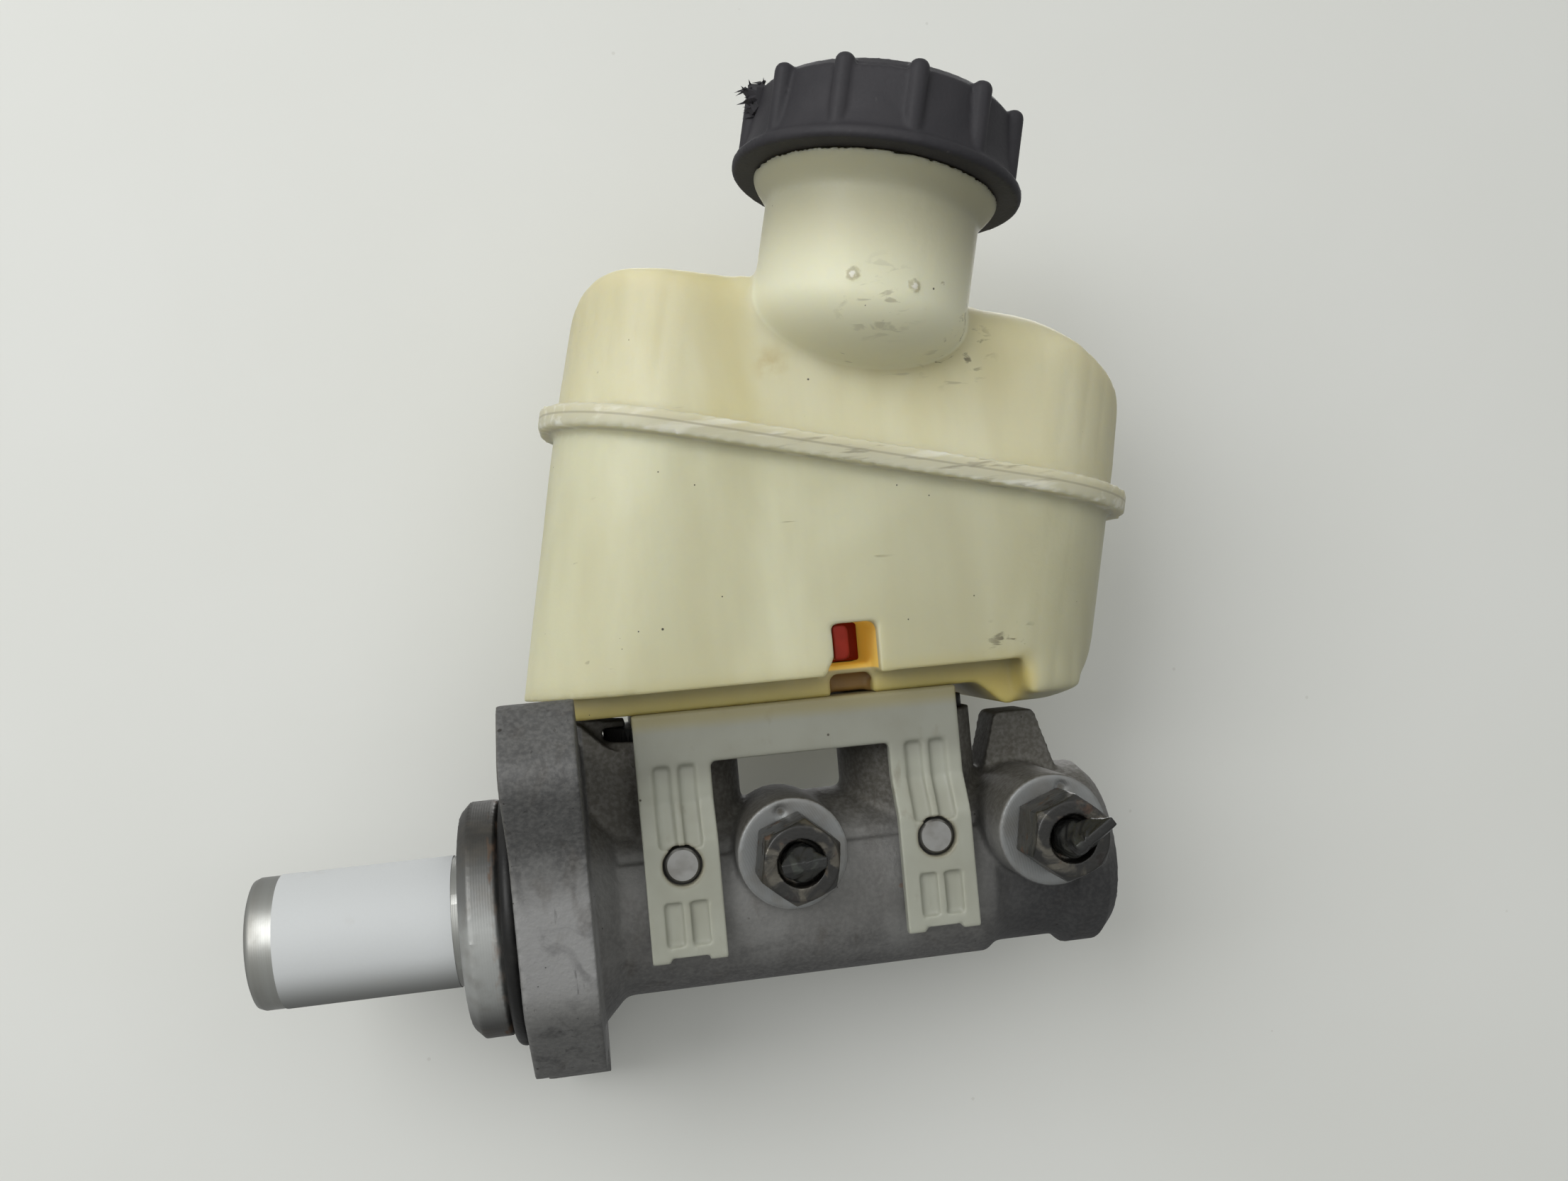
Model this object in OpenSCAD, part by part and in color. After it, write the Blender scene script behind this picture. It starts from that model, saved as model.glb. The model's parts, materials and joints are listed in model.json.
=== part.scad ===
// Tandem brake master cylinder with a clip-on fluid reservoir.
// +X runs forward along the bore, +Z points up to the filler cap, and the outlet ports face -Y.
// The origin is where the bore axis meets the flange's mounting face.

/* [Bore and pistons] */
// Bore diameter
bore_d = 25.4; // [24:0.1:26]
// Radial running clearance between a piston and the bore
piston_gap = 0.05; // [0.02:0.01:0.1]
// Stroke of the secondary piston, and of the primary piston against it
stage_stroke = 12.5; // [8:0.5:12.5]
// Length of primary piston that stands out behind the pilot
piston_reach = 40.4; // [34:0.2:48]
// Diameter of the push-rod socket in the primary piston
socket_d = 14; // [10:0.5:17]
// Depth of the push-rod socket
socket_depth = 30; // [20:1:40]
// Diameter of the spring pockets in the pistons
pocket_d = 18; // [17:0.1:19]
// Width of a piston seal
seal_w = 4.5; // [3.5:0.1:4.8]
// Radial depth of a seal groove
groove_depth = 3; // [2:0.1:3.2]

/* [Springs] */
// Wire diameter of the return springs
wire_d = 2.4; // [1.8:0.1:2.6]
// Mean coil radius of the return springs
coil_r = 7.4; // [7:0.1:7.5]
// Number of coils in a return spring
coil_turns = 7; // [5:1:8]

/* [Flange and pilot] */
// Distance between the two mounting holes
bolt_spacing = 82; // [76:1:92]
// Slope of the line through the mounting holes
bolt_slope = 45; // [30:1:60]
// Mounting hole diameter
bolt_d = 9; // [7:0.5:11]
// Flange thickness
flange_t = 13.6; // [10:0.2:15]
// Metal between a mounting hole's centre and the end of its ear
ear_margin = 13; // [11:0.5:16]
// Half width of an ear at its end
ear_half = 10; // [9:0.5:13]
// Half width of the flange across the hub
hub_half = 30; // [28:0.5:34]
// Pilot diameter
pilot_d = 46; // [42:0.5:48]
// Pilot length
pilot_l = 11; // [10:0.5:14]
// Thickness of the pilot O-ring
o_ring_d = 3.4; // [2.4:0.2:4]
// Depth of the O-ring's seat in the pilot
o_ring_seat = 1.2; // [0.6:0.1:1.8]
// Depth of the relief for the O-ring in the flange face
o_ring_relief = 0.4; // [0.2:0.1:0.8]

/* [Cylinder body] */
// Outer diameter of the barrel
barrel_d = 36.8; // [36:0.2:40]
// Outer diameter of the nose in front of the barrel
nose_d = 33.4; // [32.6:0.2:36]
// Outer diameter of the collar round the front end
collar_d = 37.4; // [36:0.2:40]
// Distance from the mounting face to the step at the nose
barrel_l = 93; // [90:1:100]
// Distance from the mounting face to the front end
body_l = 118; // [114:1:126]
// Distance from the mounting face to the first inlet
inlet_x0 = 30.9; // [30:0.1:33]
// Distance between the two circuits
circuit_pitch = 49; // [47:0.5:52]
// Distance from an inlet forward to its outlet port
port_lead = 20.9; // [19:0.1:22]
// Height of the outlet ports and clip pins above the bore axis
side_z = 9.7; // [8:0.1:11]
// Distance from the bore axis to the rear outlet's boss face
rear_boss_y = 22.8; // [21:0.1:28]
// Distance from the bore axis to the front outlet's boss face
front_boss_y = 29.3; // [26:0.1:34]
// Diameter of the outlet bosses
boss_d = 21.2; // [18:0.2:23]
// Diameter of an outlet port's thread
port_d = 12; // [10:0.5:13]
// Depth of an outlet port
port_depth = 12; // [8:0.5:12]
// Height of the inlet boss tops above the bore axis
inlet_top = 32.7; // [31:0.1:36]
// Outer diameter of the inlet bosses
inlet_d = 28; // [26:0.5:30]
// Diameter of the grommet seat in an inlet boss
seat_d = 20; // [18:0.5:22]
// Diameter of the pins that hold the reservoir clip
pin_d = 5.8; // [4:0.2:6.4]

/* [Tube fittings] */
// Width across the flats of a tube nut
nut_af = 14; // [12:0.5:17]
// Height of a tube nut above its boss
nut_h = 11; // [8:0.5:14]
// Outer diameter of the brake tube
tube_d = 6.6; // [4.8:0.2:7]

/* [Reservoir clip] */
// Thickness of the clip's plate
plate_t = 3; // [2:0.1:4]
// Thickness of the clip's legs
clip_t = 2.6; // [2:0.1:3]
// Width of a leg
leg_w = 14.2; // [12:0.2:16]
// Depth of the bar that joins the legs
bar_h = 7; // [5:0.2:8]
// Distance that a leg reaches below the pins
leg_drop = 18; // [12:0.5:22]
// Gap between a leg and the barrel
leg_gap = 1.6; // [1:0.1:2.4]
// Clearance round a clip pin
pin_clear = 0.9; // [0.3:0.1:1.2]
// Thickness of the grommet lip under the clip's plate
lip_t = 2.5; // [2:0.1:3.5]

/* [Reservoir] */
// Half length of the reservoir at the weld
res_half_l = 57.4; // [54:0.2:60]
// Half width of the reservoir
res_half_w = 26; // [25:0.2:30]
// Wall thickness
wall = 2.4; // [1.8:0.1:2.8]
// Slope of the weld against the bore axis
res_tilt = 12.8; // [10:0.2:15]
// Distance from the mounting face to the middle of the weld
res_x = 70.3; // [69:0.1:72]
// Height of the middle of the weld above the sump's underside
weld_rise = 45.9; // [43:0.1:50]
// Height of the upper shell above the weld, where its front slope begins
dome_h = 33.4; // [32:0.2:38]
// Height of the upper shell's rear edge above the weld
dome_rear_h = 28.9; // [26:0.1:32]
// Height of the upper shell's front edge above the weld
dome_front_h = 22.8; // [20:0.1:26]
// Length of the upper shell's front slope
front_slope_l = 23.5; // [18:0.5:28]
// Corner radius of the reservoir in plan
plan_r = 23; // [19:0.5:24]
// Height of the skirt's edge above the sump's underside
skirt_rise = 4.3; // [3:0.1:5]
// Draft of the end walls
draft = 2; // [1:0.5:3]
// Half width of the sump
sump_half_w = 18; // [17:0.2:19]
// Depth of the pocket at the front of the sump
pocket_drop = 4.8; // [3:0.1:5.5]
// Width of the weld bead beyond the wall
bead_w = 3.4; // [2.6:0.1:4]
// Height of the weld bead
bead_h = 4.4; // [3:0.1:5]
// Diameter of the outlet spigots
spigot_d = 12; // [10:0.2:13]

/* [Filler neck and cap] */
// Outer radius of the neck
neck_r = 20.5; // [19.5:0.1:21]
// Distance from the reservoir's middle forward to the neck's axis
neck_p = -2.8; // [-4:0.1:1]
// Distance from the middle plane to the neck's axis
neck_y = -24; // [-25:0.5:-18]
// Height of the neck's rim above the weld
neck_top = 61.5; // [60:0.5:66]
// Height above the weld where the neck's domed end begins
neck_root = 27; // [25:0.2:30]
// Depth of the neck's domed end
neck_cup = 11; // [9:0.5:14]
// Radius of the collar under the cap
collar_r = 23.4; // [22.8:0.1:24]
// Radius of the cap's bottom rim
cap_rim_r = 27.8; // [27:0.1:30]
// Radius of the cap's wall
cap_r = 25.2; // [24.8:0.1:26.4]
// Depth of the cap below the neck's rim
cap_depth = 11.2; // [9:0.2:12]
// Thickness of the cap's top
cap_t = 2.7; // [2.2:0.1:4]
// Thickness of the cap gasket
gasket_t = 2.2; // [1.5:0.1:3]
// Number of grip ribs
rib_count = 12; // [8:1:14]
// Radius of a grip rib
rib_r = 1.8; // [1.2:0.1:2.2]
// Turn of the cap on its neck, when tight
cap_turn = -13; // [-36:1:36]

/* [Level sensor] */
// Distance from the mounting face to the middle of the sensor channel
sensor_x = 66.8; // [65:0.1:68]
// Width of the sensor channel
channel_w = 8.8; // [8:0.1:10]
// Height of the sensor channel
channel_h = 8.2; // [7.5:0.1:9]
// Clearance round the sensor
sensor_gap = 0.25; // [0.15:0.05:0.4]
// Reach of the sensor's socket behind the reservoir
socket_reach = 18; // [15:0.5:22]
// Radius of the float
float_r = 11.5; // [10:0.1:12]
// Height of the float
float_h = 9; // [7:0.2:11]
// Travel of the float
float_travel = 12; // [8:0.5:13]

/* [Hidden] */
$fn = 72;
EPS = 0.01;
// Clearance between fixed round pieces that fit together
seat_gap = 0.05;
// Clearance between pieces that pass each other without touching
pass_gap = 0.4;
// Points in each rounded corner of an outline
CORNER = 7;

// Circuits, from rear to front
bore_r = bore_d / 2;
piston_r = bore_r - piston_gap;
seal_r = bore_r + 0.02;
groove_r = bore_r + groove_depth;
feed_half = 3.2;
feed_r = bore_r + 1.8;
rear_lead = 4.6;
pressure_lead = 8.5;
past_seal = 1.1;
inlet_x = [inlet_x0, inlet_x0 + circuit_pitch];
port_x = [for (x = inlet_x) x + port_lead];
boss_y = [rear_boss_y, front_boss_y];
rear_seal_x = [for (x = inlet_x) x - rear_lead - seal_w];
pressure_seal_x = [for (x = inlet_x) x + pressure_lead];
bleed_x = [for (x = inlet_x) x + (feed_half + pressure_lead) / 2];

// Pistons and springs
primary_rear = -pilot_l - piston_reach;
primary_front = pressure_seal_x[0] + seal_w + past_seal;
secondary_rear = primary_front + stage_stroke;
secondary_front = pressure_seal_x[1] + seal_w + past_seal;
bore_end = secondary_front + stage_stroke + 1.5;
primary_pocket = primary_front - 32;
secondary_pocket = secondary_rear + 12;
pocket_r = pocket_d / 2;
sleeve_r = 5;
sleeve_bore_r = 4.2;
sleeve_lip_r = 2.8;
sleeve_flange_t = 1.5;
sleeve_lip_t = 1.4;
head_r = 3.7;
head_t = 2;
head_gap = 0.2;
sleeve_rear = secondary_rear - stage_stroke - head_t - head_gap - pass_gap - sleeve_lip_t;
screw_r = 2.3;
screw_hold = 5;

// Rear end of the body
o_ring_seat_r = pilot_d / 2 - o_ring_seat;
ring_x = -pilot_l + 1.4;
ring_t = 1.4;
vacuum_seal_x = ring_x + ring_t + 0.6;
vacuum_seal_w = 4;
guide_x = 2;
guide_w = 6;
guide_depth = 1.5;

// Heights above the bore axis
barrel_r = barrel_d / 2;
clip_z = inlet_top + lip_t;
sump_z = clip_z + plate_t;
skirt_z = sump_z + skirt_rise;
res_z = sump_z + weld_rise;
floor_under = skirt_z + 4.5;
floor_top = floor_under + wall;
seat_bottom = inlet_top - 10.7;

// Reservoir clip
leg_y = barrel_r + leg_gap;
bar_y = leg_y - 3.4;
leg_bend_top = side_z + 11.5;
leg_bend_low = side_z + 4.5;
pin_end = leg_y + clip_t - 0.7;
plate_hole_r = spigot_d / 2 + 0.6;

// Sensor channel
channel_z = skirt_z + 1.5;
channel_top = channel_z + channel_h;
channel_wall = 2.2;
roof_top = channel_top + channel_wall;
float_y = 4;
float_z = roof_top + 0.3;
fence_r = float_r + 0.7;
fence_t = 1.4;
fence_h = float_h + float_travel + 1.2;

// Cap heights above the weld
cap_bottom = neck_top - cap_depth;
cap_ceiling = neck_top + gasket_t;
cap_top = cap_ceiling + cap_t;
cap_bore_r = neck_r + 1.9;
neck_bore_r = neck_r - wall + 0.2;

// Outline helpers
function unit(v) = v / norm(v);
function corner(a, b, c, r) =
    let (u = unit(a - b), w = unit(c - b), half = acos(u * w) / 2)
    let (mid = b + unit(u + w) * r / sin(half))
    let (s = b + u * r / tan(half) - mid, e = b + w * r / tan(half) - mid)
    let (from = atan2(s.y, s.x), sweep = (atan2(e.y, e.x) - from + 540) % 360 - 180)
    [for (i = [0 : CORNER]) mid + r * [cos(from + sweep * i / CORNER), sin(from + sweep * i / CORNER)]];
function rounded(points, radii) =
    let (n = len(points))
    [for (i = [0 : n - 1])
        each radii[i] > 0
            ? corner(points[(i + n - 1) % n], points[i], points[(i + 1) % n], radii[i])
            : [points[i]]];
// A point of the reservoir's own frame, p along and q above the weld, in part coordinates
function in_part(p, q) = [
    res_x + p * cos(res_tilt) + q * sin(res_tilt),
    res_z - p * sin(res_tilt) + q * cos(res_tilt)
];
// Where a drafted end wall reaches the height z, with side -1 at the rear and 1 at the front
function wall_at(side, z, inset) =
    let (p = side * (res_half_l - inset), slope = side * tan(draft))
    let (q = (z - res_z + p * sin(res_tilt)) / (cos(res_tilt) - slope * sin(res_tilt)))
    in_part(p + q * slope, q);

// Shape helpers
module along_x(x0, x1, r) {
    translate([x0, 0, 0]) rotate([0, 90, 0]) cylinder(h = x1 - x0, r = r);
}
module along_y(x, z, y0, y1, r) {
    translate([x, y1, z]) rotate([90, 0, 0]) cylinder(h = y1 - y0, r = r);
}
module turned(points) {
    rotate([0, 90, 0]) rotate_extrude() polygon(points);
}
module slab_x(x0, x1) {
    translate([x0, 0, 0]) rotate([90, 0, 90]) linear_extrude(x1 - x0) children();
}
module slab_y(y0, y1) {
    translate([0, y1, 0]) rotate([90, 0, 0]) linear_extrude(y1 - y0) children();
}
module block(low, high) {
    translate(low) cube(high - low);
}
module both_sides() {
    children();
    mirror([0, 1, 0]) children();
}
module reservoir_frame() {
    translate([res_x, 0, res_z]) rotate([0, res_tilt, 0]) children();
}
module neck_frame() {
    reservoir_frame() translate([neck_p, neck_y, 0]) children();
}

// Cylinder body
module flange_outline() {
    end_u = bolt_spacing / 2 + ear_margin;
    root_u = bolt_spacing / 2 - 5;
    hub_u = 12;
    quarter = [[end_u, ear_half], [root_u, ear_half + 2], [hub_u, hub_half]];
    half = concat(quarter, [for (i = [2 : -1 : 0]) [-quarter[i].x, quarter[i].y]]);
    outline = concat(half, [for (p = half) -p]);
    radii = [6, 8, 12, 12, 8, 6];
    rotate(180 - bolt_slope) polygon(rounded(outline, concat(radii, radii)));
}
module flange_and_pilot() {
    chamfer = 2;
    seat_w = o_ring_d + 0.2;
    relief_r = o_ring_seat_r + o_ring_d + 0.3;
    difference() {
        slab_x(0, flange_t) flange_outline();
        along_x(-EPS, o_ring_relief, relief_r);
    }
    turned([
        [0, -pilot_l], [pilot_d / 2 - chamfer, -pilot_l], [pilot_d / 2, -pilot_l + chamfer],
        [pilot_d / 2, -seat_w], [o_ring_seat_r, -seat_w],
        [o_ring_seat_r, o_ring_relief + EPS], [0, o_ring_relief + EPS]
    ]);
}
module barrel() {
    root = 5;
    chamfer = 3;
    ledge_y = sqrt(barrel_r * barrel_r - side_z * side_z) - 1.2;
    collar_x = body_l - 11;
    difference() {
        turned([
            [0, flange_t / 2], [barrel_r + root, flange_t / 2],
            [barrel_r + root, flange_t], [barrel_r, flange_t + root],
            [barrel_r, barrel_l - 1.2], [nose_d / 2, barrel_l + 1.2], [nose_d / 2, collar_x],
            [collar_d / 2, collar_x + 2], [collar_d / 2, body_l - chamfer], [collar_d / 2 - chamfer, body_l],
            [0, body_l]
        ]);
        both_sides()
            block([flange_t + root, ledge_y, side_z], [barrel_l + 4, barrel_r + 5, barrel_r + 5]);
    }
}
module inlet_bosses() {
    for (x = inlet_x)
        translate([x, 0, 0]) cylinder(h = inlet_top, d = inlet_d);
    // Web from the flange to the rear inlet
    web = [
        [1, 0], [1, inlet_top + 4], [flange_t, inlet_top + 4.5], [flange_t + 6, inlet_top - 1.5],
        [inlet_x[0], inlet_top - 2], [inlet_x[0], 0]
    ];
    slab_y(-11, 11) polygon(rounded(web, [0, 2, 2, 6, 0, 0]));
}
module front_lug() {
    middle = body_l - 15.5;
    base = 11;
    tip = 4.2;
    top = barrel_r + 12.4;
    lug = [[middle - base, 8], [middle - tip, top], [middle + tip, top], [middle + base, 8]];
    slab_y(-5.5, 5.5) polygon(rounded(lug, [0, 1.5, 1.5, 0]));
}
module bore_cuts() {
    mouth = 0.8;
    turned([
        [0, -pilot_l - EPS], [bore_r + mouth, -pilot_l - EPS], [bore_r, -pilot_l + mouth],
        [bore_r, bore_end - 2], [bore_r - 2, bore_end], [0, bore_end]
    ]);
    along_x(ring_x - seat_gap, ring_x + ring_t + seat_gap, groove_r);
    along_x(vacuum_seal_x - seat_gap, vacuum_seal_x + vacuum_seal_w + seat_gap, groove_r);
    along_x(guide_x - seat_gap, guide_x + guide_w + seat_gap, bore_r + guide_depth);
    for (x = concat(rear_seal_x, pressure_seal_x))
        along_x(x - seat_gap, x + seal_w + seat_gap, groove_r);
    for (x = inlet_x)
        along_x(x - feed_half, x + feed_half, feed_r);
}
module master_body() color("darkgray") {
    drill = 5;
    difference() {
        union() {
            flange_and_pilot();
            barrel();
            inlet_bosses();
            front_lug();
            for (i = [0, 1])
                along_y(port_x[i], side_z, -boss_y[i], 0, boss_d / 2);
            for (x = inlet_x)
                along_y(x, side_z, -pin_end, pin_end, pin_d / 2);
        }
        bore_cuts();
        for (i = [0, 1]) {
            along_y(port_x[i], side_z, -boss_y[i] - EPS, -boss_y[i] + port_depth, port_d / 2 + seat_gap);
            along_y(port_x[i], side_z, -boss_y[i] + port_depth - EPS, -3, drill / 2);
            translate([inlet_x[i], 0, seat_bottom]) cylinder(h = inlet_top, d = seat_d);
            translate([inlet_x[i], 0, 0]) cylinder(h = seat_bottom + EPS, d = 8);
        }
        for (side = [-1, 1])
            slab_x(-EPS, flange_t + EPS)
                rotate(180 - bolt_slope) translate([side * bolt_spacing / 2, 0]) circle(d = bolt_d);
    }
}
module pilot_o_ring() color("black") {
    ring_r = o_ring_d / 2;
    translate([o_ring_relief - ring_r - 0.1, 0, 0]) rotate([0, 90, 0])
        rotate_extrude() translate([o_ring_seat_r + ring_r + 0.02, 0]) circle(r = ring_r);
}

// Pistons
module bleed_holes(x) {
    holes = 6;
    for (i = [0 : holes - 1])
        rotate([i * 360 / holes, 0, 0]) translate([x, 0, 0]) cylinder(h = bore_d, d = 1.6);
}
module primary_piston() color("silver") {
    rim = 1.4;
    mouth = 1.2;
    tip_depth = 3;
    difference() {
        turned([
            [0, primary_rear], [piston_r - rim, primary_rear], [piston_r - 0.4, primary_rear + 0.4],
            [piston_r, primary_rear + rim], [piston_r, primary_front - rim], [piston_r - rim, primary_front],
            [0, primary_front]
        ]);
        turned([
            [0, primary_rear - EPS], [socket_d / 2 + mouth, primary_rear - EPS],
            [socket_d / 2, primary_rear + mouth], [socket_d / 2, primary_rear + socket_depth],
            [0, primary_rear + socket_depth + tip_depth]
        ]);
        along_x(primary_pocket, primary_front + EPS, pocket_r);
        along_x(primary_pocket - screw_hold, primary_pocket + EPS, screw_r + seat_gap);
        bleed_holes(bleed_x[0]);
    }
}
module secondary_piston() color("silver") {
    rim = 1;
    difference() {
        turned([
            [0, secondary_rear], [piston_r - rim, secondary_rear], [piston_r, secondary_rear + rim],
            [piston_r, secondary_front - rim], [piston_r - rim, secondary_front], [0, secondary_front]
        ]);
        along_x(secondary_pocket, secondary_front + EPS, pocket_r);
        bleed_holes(bleed_x[1]);
    }
}

// Return springs: one tube of wire swept along a helix
module coil_spring(x0, x1) {
    sides = 6;
    rings = 10 * coil_turns;
    wire_r = wire_d / 2;
    start = x0 + wire_r + seat_gap;
    run = x1 - x0 - wire_d - 2 * seat_gap;
    wound = 2 * PI * coil_r * coil_turns;
    points = [
        for (i = [0 : rings])
            let (a = 360 * coil_turns * i / rings, out = [0, cos(a), sin(a)])
            let (path = unit([run, -sin(a) * wound, cos(a) * wound]))
            let (side = cross(path, out), middle = [start + run * i / rings, 0, 0] + coil_r * out)
            for (k = [0 : sides - 1])
                middle + wire_r * (cos(360 * k / sides) * out + sin(360 * k / sides) * side)
    ];
    skin = [
        for (i = [0 : rings - 1], k = [0 : sides - 1])
            let (a = i * sides + k, b = i * sides + (k + 1) % sides)
            each [[a, b, b + sides], [a, b + sides, a + sides]]
    ];
    caps = [
        for (k = [1 : sides - 2])
            each [[0, k + 1, k], [rings * sides, rings * sides + k, rings * sides + k + 1]]
    ];
    polyhedron(points, concat(skin, caps));
}
module primary_spring() color("dimgray")
    coil_spring(primary_pocket, secondary_rear - sleeve_flange_t);
module secondary_spring() color("dimgray")
    coil_spring(secondary_pocket, bore_end);
module spring_retainer() color("lightsteelblue") {
    turned([
        [sleeve_lip_r, sleeve_rear], [sleeve_r, sleeve_rear], [sleeve_r, secondary_rear - sleeve_flange_t],
        [pocket_r - 0.5, secondary_rear - sleeve_flange_t], [pocket_r - 0.5, secondary_rear],
        [sleeve_bore_r, secondary_rear], [sleeve_bore_r, sleeve_rear + sleeve_lip_t],
        [sleeve_lip_r, sleeve_rear + sleeve_lip_t]
    ]);
}
module retainer_screw() color("slategray") {
    head_x = sleeve_rear + sleeve_lip_t + head_gap;
    turned([
        [0, primary_pocket - screw_hold], [screw_r, primary_pocket - screw_hold], [screw_r, head_x],
        [head_r, head_x], [head_r, head_x + head_t], [0, head_x + head_t]
    ]);
}

// Rings and seals in the bore
module split_ring(x, w, inner, outer, opening) {
    difference() {
        turned([[inner, x], [outer, x], [outer, x + w], [inner, x + w]]);
        block([x - EPS, -opening / 2, -outer - 1], [x + w + EPS, opening / 2, 0]);
    }
}
module cup_seal(x, w) {
    outer = groove_r - seat_gap;
    heel = w * 0.4;
    lip = (outer - seal_r) * 0.26;
    turned([
        [seal_r, x], [outer, x], [outer, x + w], [outer - lip, x + w], [outer - 1.4 * lip, x + heel],
        [seal_r + 1.4 * lip, x + heel], [seal_r + lip, x + w], [seal_r, x + w]
    ]);
}
module retaining_ring() color("gray")
    split_ring(ring_x, ring_t, bore_r + 0.3, groove_r - seat_gap, 10);
module guide_ring() color("ivory")
    split_ring(guide_x, guide_w, seal_r, bore_r + guide_depth - seat_gap, 2);
module vacuum_seal() color("black") cup_seal(vacuum_seal_x, vacuum_seal_w);
module primary_rear_seal() color("black") cup_seal(rear_seal_x[0], seal_w);
module primary_pressure_seal() color("black") cup_seal(pressure_seal_x[0], seal_w);
module separating_seal() color("black") cup_seal(rear_seal_x[1], seal_w);
module secondary_pressure_seal() color("black") cup_seal(pressure_seal_x[1], seal_w);

// Inlet grommets
module grommet(x) {
    hole = spigot_d / 2 + seat_gap;
    outer = seat_d / 2 - seat_gap;
    lip_r = inlet_d / 2 - 1.4;
    translate([x, 0, 0]) rotate_extrude() polygon([
        [hole, seat_bottom + 0.2], [outer - 0.8, seat_bottom + 0.2], [outer, seat_bottom + 1.8],
        [outer, inlet_top], [lip_r, inlet_top], [lip_r, clip_z], [hole, clip_z]
    ]);
}
module rear_grommet() color("black") grommet(inlet_x[0]);
module front_grommet() color("black") grommet(inlet_x[1]);

// Tube nuts, and the brake tubes pinched off at them
module port_frame(i) {
    translate([port_x[i], -boss_y[i], side_z]) rotate([90, 0, 0]) children();
}
module tube_nut(i) {
    corner_d = nut_af / cos(30);
    bevel = 1.6;
    mouth_depth = 3;
    mouth_gap = 1.1;
    port_frame(i) difference() {
        union() {
            translate([0, 0, 0.05]) intersection() {
                rotate(20) cylinder(h = nut_h, d = corner_d, $fn = 6);
                rotate_extrude() polygon([
                    [0, 0], [corner_d, 0], [corner_d, nut_h - bevel - (corner_d - nut_af / 2)],
                    [nut_af / 2 - 0.2, nut_h], [0, nut_h]
                ]);
            }
            translate([0, 0, 2 - port_depth]) cylinder(h = port_depth, d = port_d);
        }
        translate([0, 0, -port_depth]) cylinder(h = port_depth + nut_h + 1, d = tube_d + 2 * seat_gap);
        translate([0, 0, nut_h - mouth_depth]) cylinder(h = mouth_depth + 1, d = tube_d + 2 * mouth_gap);
    }
}
module tube_stub(i, turn, reach, lean) {
    flat_w = tube_d * 1.25;
    face = nut_h + 0.2;
    port_frame(i) union() {
        translate([0, 0, 4 - port_depth]) cylinder(h = port_depth + face - 4, d = tube_d);
        hull() {
            translate([0, 0, face]) cylinder(h = 0.2, d = tube_d, $fn = 32);
            rotate(turn) translate([lean - flat_w / 2, -0.8, nut_h + reach - 1]) cube([flat_w, 1.6, 1]);
        }
    }
}
module rear_tube_nut() color("gainsboro") tube_nut(0);
module front_tube_nut() color("gainsboro") tube_nut(1);
module rear_tube_stub() color("darkslategray") tube_stub(0, 4, 3, 0);
module front_tube_stub() color("darkslategray") tube_stub(1, 32, 6, 2.5);

// Reservoir clip: a plate between sump and grommets, with two sprung legs on each side
module clip_leg(x) {
    out = leg_y + clip_t;
    bar_out = bar_y + clip_t;
    foot = side_z - leg_drop;
    side = [
        [-bar_out, clip_z + plate_t], [-bar_out, leg_bend_top], [-out, leg_bend_low], [-out, foot],
        [-leg_y, foot], [-leg_y, leg_bend_low - 0.6], [-bar_y, leg_bend_top - 0.6], [-bar_y, clip_z + plate_t]
    ];
    groove_w = leg_w * 0.24;
    recess = 1;
    difference() {
        slab_x(x - leg_w / 2, x + leg_w / 2) polygon(rounded(side, [0, 4, 4, 0.6, 0.6, 3, 3, 0]));
        along_y(x, side_z, -out - 1, -leg_y + 1, pin_d / 2 + pin_clear);
        for (offset = [-leg_w * 0.17, leg_w * 0.17]) {
            // Stiffening grooves that follow the bend
            translate([x + offset - groove_w / 2, 0, 0]) slab_x(0, groove_w) polygon([
                [-bar_out - 1, clip_z - bar_h], [-bar_out + recess, clip_z - bar_h],
                [-bar_out + recess, leg_bend_top - 0.3], [-out + recess, leg_bend_low - 0.3],
                [-out + recess, leg_bend_low - 1.2], [-out - 1, leg_bend_low - 1.2],
                [-out - 1, leg_bend_low], [-bar_out - 1, leg_bend_top]
            ]);
            // Pockets below the pin
            block(
                [x + offset - groove_w / 2, -out - 1, foot + 3],
                [x + offset + groove_w / 2, -out + recess, side_z - pin_d / 2 - 3.8]
            );
        }
        block([x - leg_w * 0.26, -out - 1, foot - 1], [x + leg_w * 0.26, -leg_y + 1, foot + 1]);
    }
}
module reservoir_clip() color("ivory") {
    rear = inlet_x[0] - leg_w / 2;
    front = inlet_x[1] + leg_w / 2;
    difference() {
        union() {
            block([rear, -bar_y - clip_t, clip_z], [front, bar_y + clip_t, clip_z + plate_t]);
            both_sides() {
                block([rear, -bar_y - clip_t, clip_z - bar_h], [front, -bar_y, clip_z + EPS]);
                for (x = inlet_x)
                    clip_leg(x);
            }
        }
        for (x = inlet_x)
            translate([x, 0, clip_z - 1]) cylinder(h = plate_t + 2, r = plate_hole_r);
    }
}

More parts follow.
